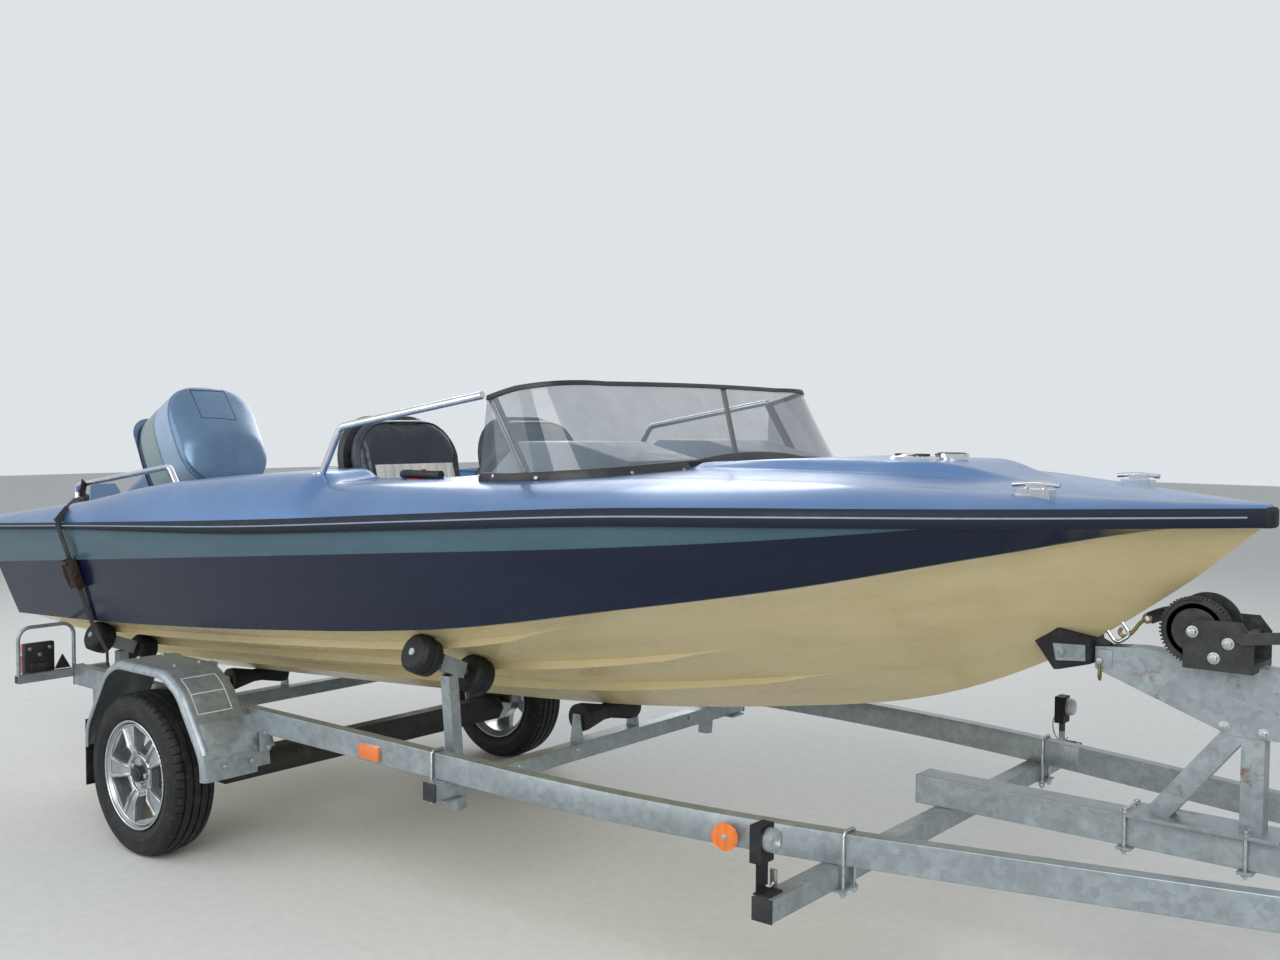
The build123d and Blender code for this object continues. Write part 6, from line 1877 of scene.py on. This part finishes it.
bench = bench_pad("bench_pad", (-200.0, 80.0), BENCH_HALF, (BENCH_Z, 1065.0), 12.0)
bench_back = bench_pad("bench_back", (-289.0, -201.0), BENCH_BACK_HALF, (BENCH_Z, 1180.0), 10.0)
for piece in (bench, bench_back):
    finish(piece, BOAT, NAVY_VINYL, 60.0)
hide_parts("bench_cushions")
bench_path = along_cover(bench, [at(x, y, 1056) for x, y in BENCH_EDGE], 0.4)
bench_welt = tube_along("bench_welt", bench_path, 3.2, resolution=10)
finish(bench_welt, BOAT, WHITE_VINYL, 60.0)
print("bench faces:", len(bench.data.polygons))

# %% [markdown]
# ## Helm
# The dash carries three round gauges and a row of switches. A gauge is a chrome ring over a
# black face with white marks and a needle. The marks are plain strokes, set round three
# quarters of the dial. The steering wheel's rim gets finger rolls.

# %% Dash pods
POD_LINE = ((1262, 1296), (1262, 1312), (1372, 1403.5), (1575, 1403.5), (1790, 1354), (1790, 1330))
pods = []
for pod_y in (-325.0, 325.0):
    pod = plate("dash_pod", side_outline(pod_y - 164.0, POD_LINE), (0, 328 * MM, 0))
    use_modifier(pod, "BEVEL", width=26 * MM, segments=5, limit_method="ANGLE", angle_limit=radians(12))
    pods.append(pod)
pod = gather("dash_pods", pods, DASH_VINYL)
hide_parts("dash_pods")
print("dash pods made")

# %% Gauges and switches
DASH_FACE_X = 1234.6
GAUGES = ((-325.0, 1268.0, 34.0), (-440.0, 1252.0, 27.0), (-218.0, 1252.0, 27.0), (325.0, 1236.0, 30.0))


def gauge(y, z, radius):
    face = at(DASH_FACE_X, y, z)
    out = Vector((-1, 0, 0))
    section = [(a, radius + r) for a, r in ((-2, -3), (6, -3), (8, -1), (8, 1), (5, 4), (-2, 4))]
    bezel = spun("gauge_ring", face, out, section, 40)
    dial = peg("gauge_dial", face - out * 2 * MM, face + out * 3 * MM, radius - 2.5, 40)
    marks = []
    for k in range(10):
        turn = radians(225 - 30 * k)
        inner, outer = (radius - 11) * MM, (radius - 5) * MM
        ray = Vector((0, -cos(turn), sin(turn)))
        root = face + out * 3.2 * MM
        marks.append(peg("mark", root + ray * inner, root + ray * outer, 0.7, 6))
    hand = Vector((0, -cos(radians(200)), sin(radians(200))))
    marks.append(peg("needle", face + out * 4 * MM, face + out * 4 * MM + hand * (radius - 9) * MM, 0.8, 6))
    return bezel, dial, marks


bezels, dials, marks = [], [], []
for y, z, radius in GAUGES:
    bezel, dial, strokes = gauge(y, z, radius)
    bezels.append(bezel)
    dials.append(dial)
    marks += strokes
gather("gauge_rings", bezels, STAINLESS)
gather("gauge_faces", dials, BLACK_TRIM)
gather("gauge_marks", marks, WHITE_PLASTIC)
switches = []
for k in range(5):
    y = -250.0 + 26.0 * k
    switches.append(slab("switch_plate", (DASH_FACE_X - 3, DASH_FACE_X + 1), (y - 9, y + 9),
                         (1186, 1216), 1.2))
    switches.append(slab("switch", (DASH_FACE_X - 9, DASH_FACE_X - 2), (y - 5.5, y + 5.5), (1192, 1210), 2.0))
gather("dash_switches", switches, BLACK_TRIM)
throttle_red = [slab("throttle_base", (1066, 1138), (-641, -591), (1286, 1291), 1.5),
                peg("throttle_button", at(1112, -616, 1314), at(1112, -616, 1320), 8.0, 20, 1.5)]
gather("throttle_base", throttle_red, RED_PLASTIC)
grip_rings = [ring("grip_ring", at(1040 + 8 * k, -616, 1302.2), (1, 0, 0), 12.8, 1.3, 32) for k in range(14)]
gather("throttle_grip", grip_rings, BLACK_RUBBER)
print("gauges:", len(GAUGES))

WHEEL_HUB = at(1150.0, -325.0, 1232.0)
HELM_AXIS = Vector((-cos(radians(20.0)), 0, sin(radians(20.0))))
helm_side = Vector((0, 1, 0))
helm_up = HELM_AXIS.cross(helm_side)
rolls = []
for k in range(28):
    turn = 2 * pi * k / 28
    reach = helm_side * cos(turn) + helm_up * sin(turn)
    axis = helm_side * -sin(turn) + helm_up * cos(turn)
    rolls.append(ring("finger_roll", WHEEL_HUB + reach * 0.149, axis, 10.6, 1.6, 24))
finish(join("helm_finger_rolls", *rolls), "steering_wheel", BLACK_RUBBER, 40.0)
HELM_CAP = ((8, 0.5), (14, 12), (15, 22), (12, 30), (8, 32), (4, 30))
hub_cap = spun("helm_cap", WHEEL_HUB, HELM_AXIS, HELM_CAP, 40)
finish(hub_cap, "steering_wheel", STAINLESS, 40.0)
print("helm dressed")

# %% [markdown]
# ## Windscreen and deck fittings
# Screws hold the screen's foot to the deck. Their places are read from the photograph: a ray
# goes from the camera through each screw's pixel and stops at the rubber foot, so every
# screw sits on it.

# %% Screen screws
PICTURE_WIDTH, PICTURE_HEIGHT = 1280, 960
SCREW_PIXELS = ((479, 476), (493, 476), (536, 478), (632, 473), (684, 470), (732, 464), (803, 463))


def seen_through(px, py):
    """The direction in which the camera sees a pixel of the photograph."""
    focal = CAMERA_LENS_MM / CAMERA_SENSOR_MM * PICTURE_WIDTH
    sideways = right * (px - PICTURE_WIDTH / 2) / focal
    return (look + sideways + upward * (PICTURE_HEIGHT / 2 - py) / focal).normalized()


screws = []
for px, py in SCREW_PIXELS:
    hit, place, normal, face = nodes["windscreen_frame"].ray_cast(CAMERA_PLACE, seen_through(px, py))
    if hit:
        for side in (1, -1):
            spot = Vector((place.x, place.y * side, place.z))
            away = Vector((normal.x, normal.y * side, normal.z))
            screws.append(peg("screen_screw", spot - away * MM, spot + away * 2.6 * MM, 5.2, 20, 1.0))
            screws.append(peg("screw_slot", spot + away * 2.2 * MM, spot + away * 3.0 * MM, 2.0, 6, 0.0))
gather("screen_screws", screws, BOLT_ZINC)
print("screen screws:", len(screws) // 2)

# %% [markdown]
# Zinc cheeks hold the rubber bow stop to the winch arm, and a bolt goes through each. The
# same rays lay them on the rubber. The screen's end struts are light metal with a dark
# groove, and the slim one near the middle is bronze coloured.

# %% Bow stop cheeks and screen struts
CHEEK_PIXELS = ((1053, 643), (1085, 645), (1085, 661), (1056, 660))
CHEEK_BOLT_PIXEL = (1060.5, 651.6)
rubber_stop = nodes["bow_stop"]
cheek, corners = grid("stop_cheek_right", 10, 6)
far = 3.2
for vertex, u, v in corners:
    px, py = [(a * (1 - u) + b * u) * v + (d * (1 - u) + c * u) * (1 - v)
              for a, b, c, d in zip(*CHEEK_PIXELS)]
    way = seen_through(px, py)
    hit, place, normal, face = rubber_stop.ray_cast(CAMERA_PLACE, way)
    if hit:
        far = (place - CAMERA_PLACE).length
    else:
        place = rubber_stop.closest_point_on_mesh(CAMERA_PLACE + way * far)[1]
    vertex.co = place - way * 2 * MM
use_modifier(cheek, "SOLIDIFY", thickness=3.0 * MM, offset=0.0)
hit, place, normal, face = rubber_stop.ray_cast(CAMERA_PLACE, seen_through(*CHEEK_BOLT_PIXEL))
cheek = join("stop_cheek_right", cheek, bolt(place + normal * 2.5 * MM, normal, 16.0, 7.0))
for piece in (cheek, twin(cheek, "stop_cheek_left")):
    finish(piece, BOAT, ZINC_STAINED, 40.0)

BRONZE = worn_metal("bronze anodised strut", "#7d6248", "#6b533d", 0.6, 0.3, 0.45)
strut_skins, strut_grooves = [], []
for side in (-1, 1):
    for half, lift, steps in ((7.5, 9.2, strut_skins), (1.6, 9.9, strut_grooves)):
        ends = [at(x, side * (678 + lift), z) for x, z in ((1470, 1513), (1604, 1300))]
        aside = (ends[1] - ends[0]).cross(Vector((0, 1, 0))).normalized() * half * MM
        corners = [ends[0] - aside, ends[0] + aside, ends[1] + aside, ends[1] - aside]
        steps.append(plate("strut_skin", corners, (0, side * 1.0 * MM, 0)))
gather("strut_skins", strut_skins, ALLOY)
gather("strut_grooves", strut_grooves, BLACK_TRIM)
middle_strut = tube_along("middle_strut_skin", [at(1664, 111, 1568), at(1725, 111, 1330)], 4.5, smooth=False)
finish(middle_strut, BOAT, BRONZE, 40.0)
print("struts and cheeks made")

# %% Deck fittings
VENT_X, VENT_Z = 2375.0, 1360.0
FILLER = at(2490.0, 0.0, 1362.0)
vent_slots = []
for k in range(7):
    y = -36.0 + 12.0 * k
    reach = sqrt(46.0 ** 2 - y ** 2)
    top = VENT_Z + (20.0 - 0.0022 * (y * y))
    vent_slots.append(slab("vent_slot", (VENT_X - reach, VENT_X + reach), (y - 2.2, y + 2.2),
                           (top - 3, top + 1.4), 0.6))
gather("vent_slots", vent_slots, BLACK_TRIM)
cap_marks = [ring("filler_ring", FILLER + Vector((0, 0, 0.0225)), (0, 0, 1), 36.0, 1.4, 48),
             ring("filler_ring", FILLER + Vector((0, 0, 0.0225)), (0, 0, 1), 15.0, 1.2, 40)]
for x in (-0.008, 0.008):
    cap_marks.append(peg("key_hole", FILLER + Vector((x, 0, 0.020)), FILLER + Vector((x, 0, 0.0235)),
                         2.6, 16))
gather("filler_marks", cap_marks, BLACK_TRIM)
foot_rings = []
for side in (-1, 1):
    for x, y, z in ((778, 738, 1276), (-1111, 505, 1126), (-362, 505, 1196)):
        hit, place, normal, face = deck.ray_cast(at(x, side * y, z + 60), Vector((0, 0, -1)))
        if hit:
            foot_rings.append(peg("rail_foot", place - normal * 2 * MM, place + normal * 5 * MM,
                                  22.0, 28, 2.0))
    for x in (2840, 2882):
        foot_rings.append(peg("cleat_screw", at(x, side * 358, 1316), at(x, side * 358, 1320), 4.5, 12, 0.8))
gather("rail_feet", foot_rings, STAINLESS)

HALF_NOSE = ((3246, 30), (3262, 36), (3276, 30), (3284, 18))
nose = list(HALF_NOSE) + [(3287, 0)] + [(x, -y) for x, y in reversed(HALF_NOSE)]
bow_cap = round_edges(plate("bow_nose", plan_outline(1231, nose), (0, 0, 48 * MM)), 9.0, 4)
finish(bow_cap, BOAT, BLACK_RUBBER, 40.0)
print("deck fittings made")

# %% [markdown]
# ## Straps and jockey wheel
# Each tie-down strap has a ratchet: two pressed steel cheeks, a slotted spool and a handle.
# The jockey wheel gets a moulded centre on each side, and its clamp a tommy bar.

# %% Ratchets
RATCHET_TOP, RATCHET_LOW = (-550.0, 836.0, 946.0), (-546.0, 806.0, 850.0)


def ratchet(side):
    top, low = [at(x, side * y, z) for x, y, z in (RATCHET_TOP, RATCHET_LOW)]
    down = (low - top).normalized()
    out = Vector((0, side, 0)) - down * down.dot(Vector((0, side, 0)))
    out.normalize()
    parts = []
    first, last = top - down * 0.004, low + down * 0.006
    outline = [first - out * 0.012, last - out * 0.012, last + out * 0.016, low - down * 0.05 + out * 0.024,
               first + out * 0.016]
    for aside in (-0.026, 0.0235):
        cheek = plate("cheek", [p + Vector((aside, 0, 0)) for p in outline], (0.0025, 0, 0))
        parts.append(round_edges(cheek, 0.8))
    spool, handle = (top + low) / 2 + out * 0.006, top + out * 0.024
    for name, middle, half, radius, sides in (("spool", spool, 0.034, 9.0, 24),
                                              ("handle_bar", handle, 0.026, 6.5, 20)):
        reach = Vector((half, 0, 0))
        parts.append(peg(name, middle - reach, middle + reach, radius, sides, 1.0))
    return parts


RUSTY_STEEL = worn_metal("rust-stained ratchet steel", "#3a2e2b", "#5b4032", 0.4, 0.4, 0.7, 8.0)
gather("strap_ratchets", ratchet(-1) + ratchet(1), RUSTY_STEEL)

JOCKEY_HUB = at(4685.0, 86.0, 100.0)
JOCKEY_CENTRE = ((24.6, 8), (27.5, 8), (27.5, 22), (26, 26), (25.6, 52), (27.4, 56), (27.4, 62), (25.4, 66),
                 (24.6, 66))
hub_parts = []
for side in (-1, 1):
    hub_parts.append(spun("jockey_hub", JOCKEY_HUB, Vector((0, side, 0)), JOCKEY_CENTRE, 48))
finish(join("jockey_hub", *hub_parts), "jockey_wheel", ZINC, 40.0)
tommy = [peg("clamp_screw", at(4774, 104, 486), at(4806, 112, 486), 7.0, 20, 1.0),
         peg("tommy_bar", at(4804, 90, 486), at(4808, 136, 486), 4.5, 16, 1.0)]
gather("jockey_clamp_bar", tommy, BOLT_ZINC)
print("ratchets and jockey fittings made")
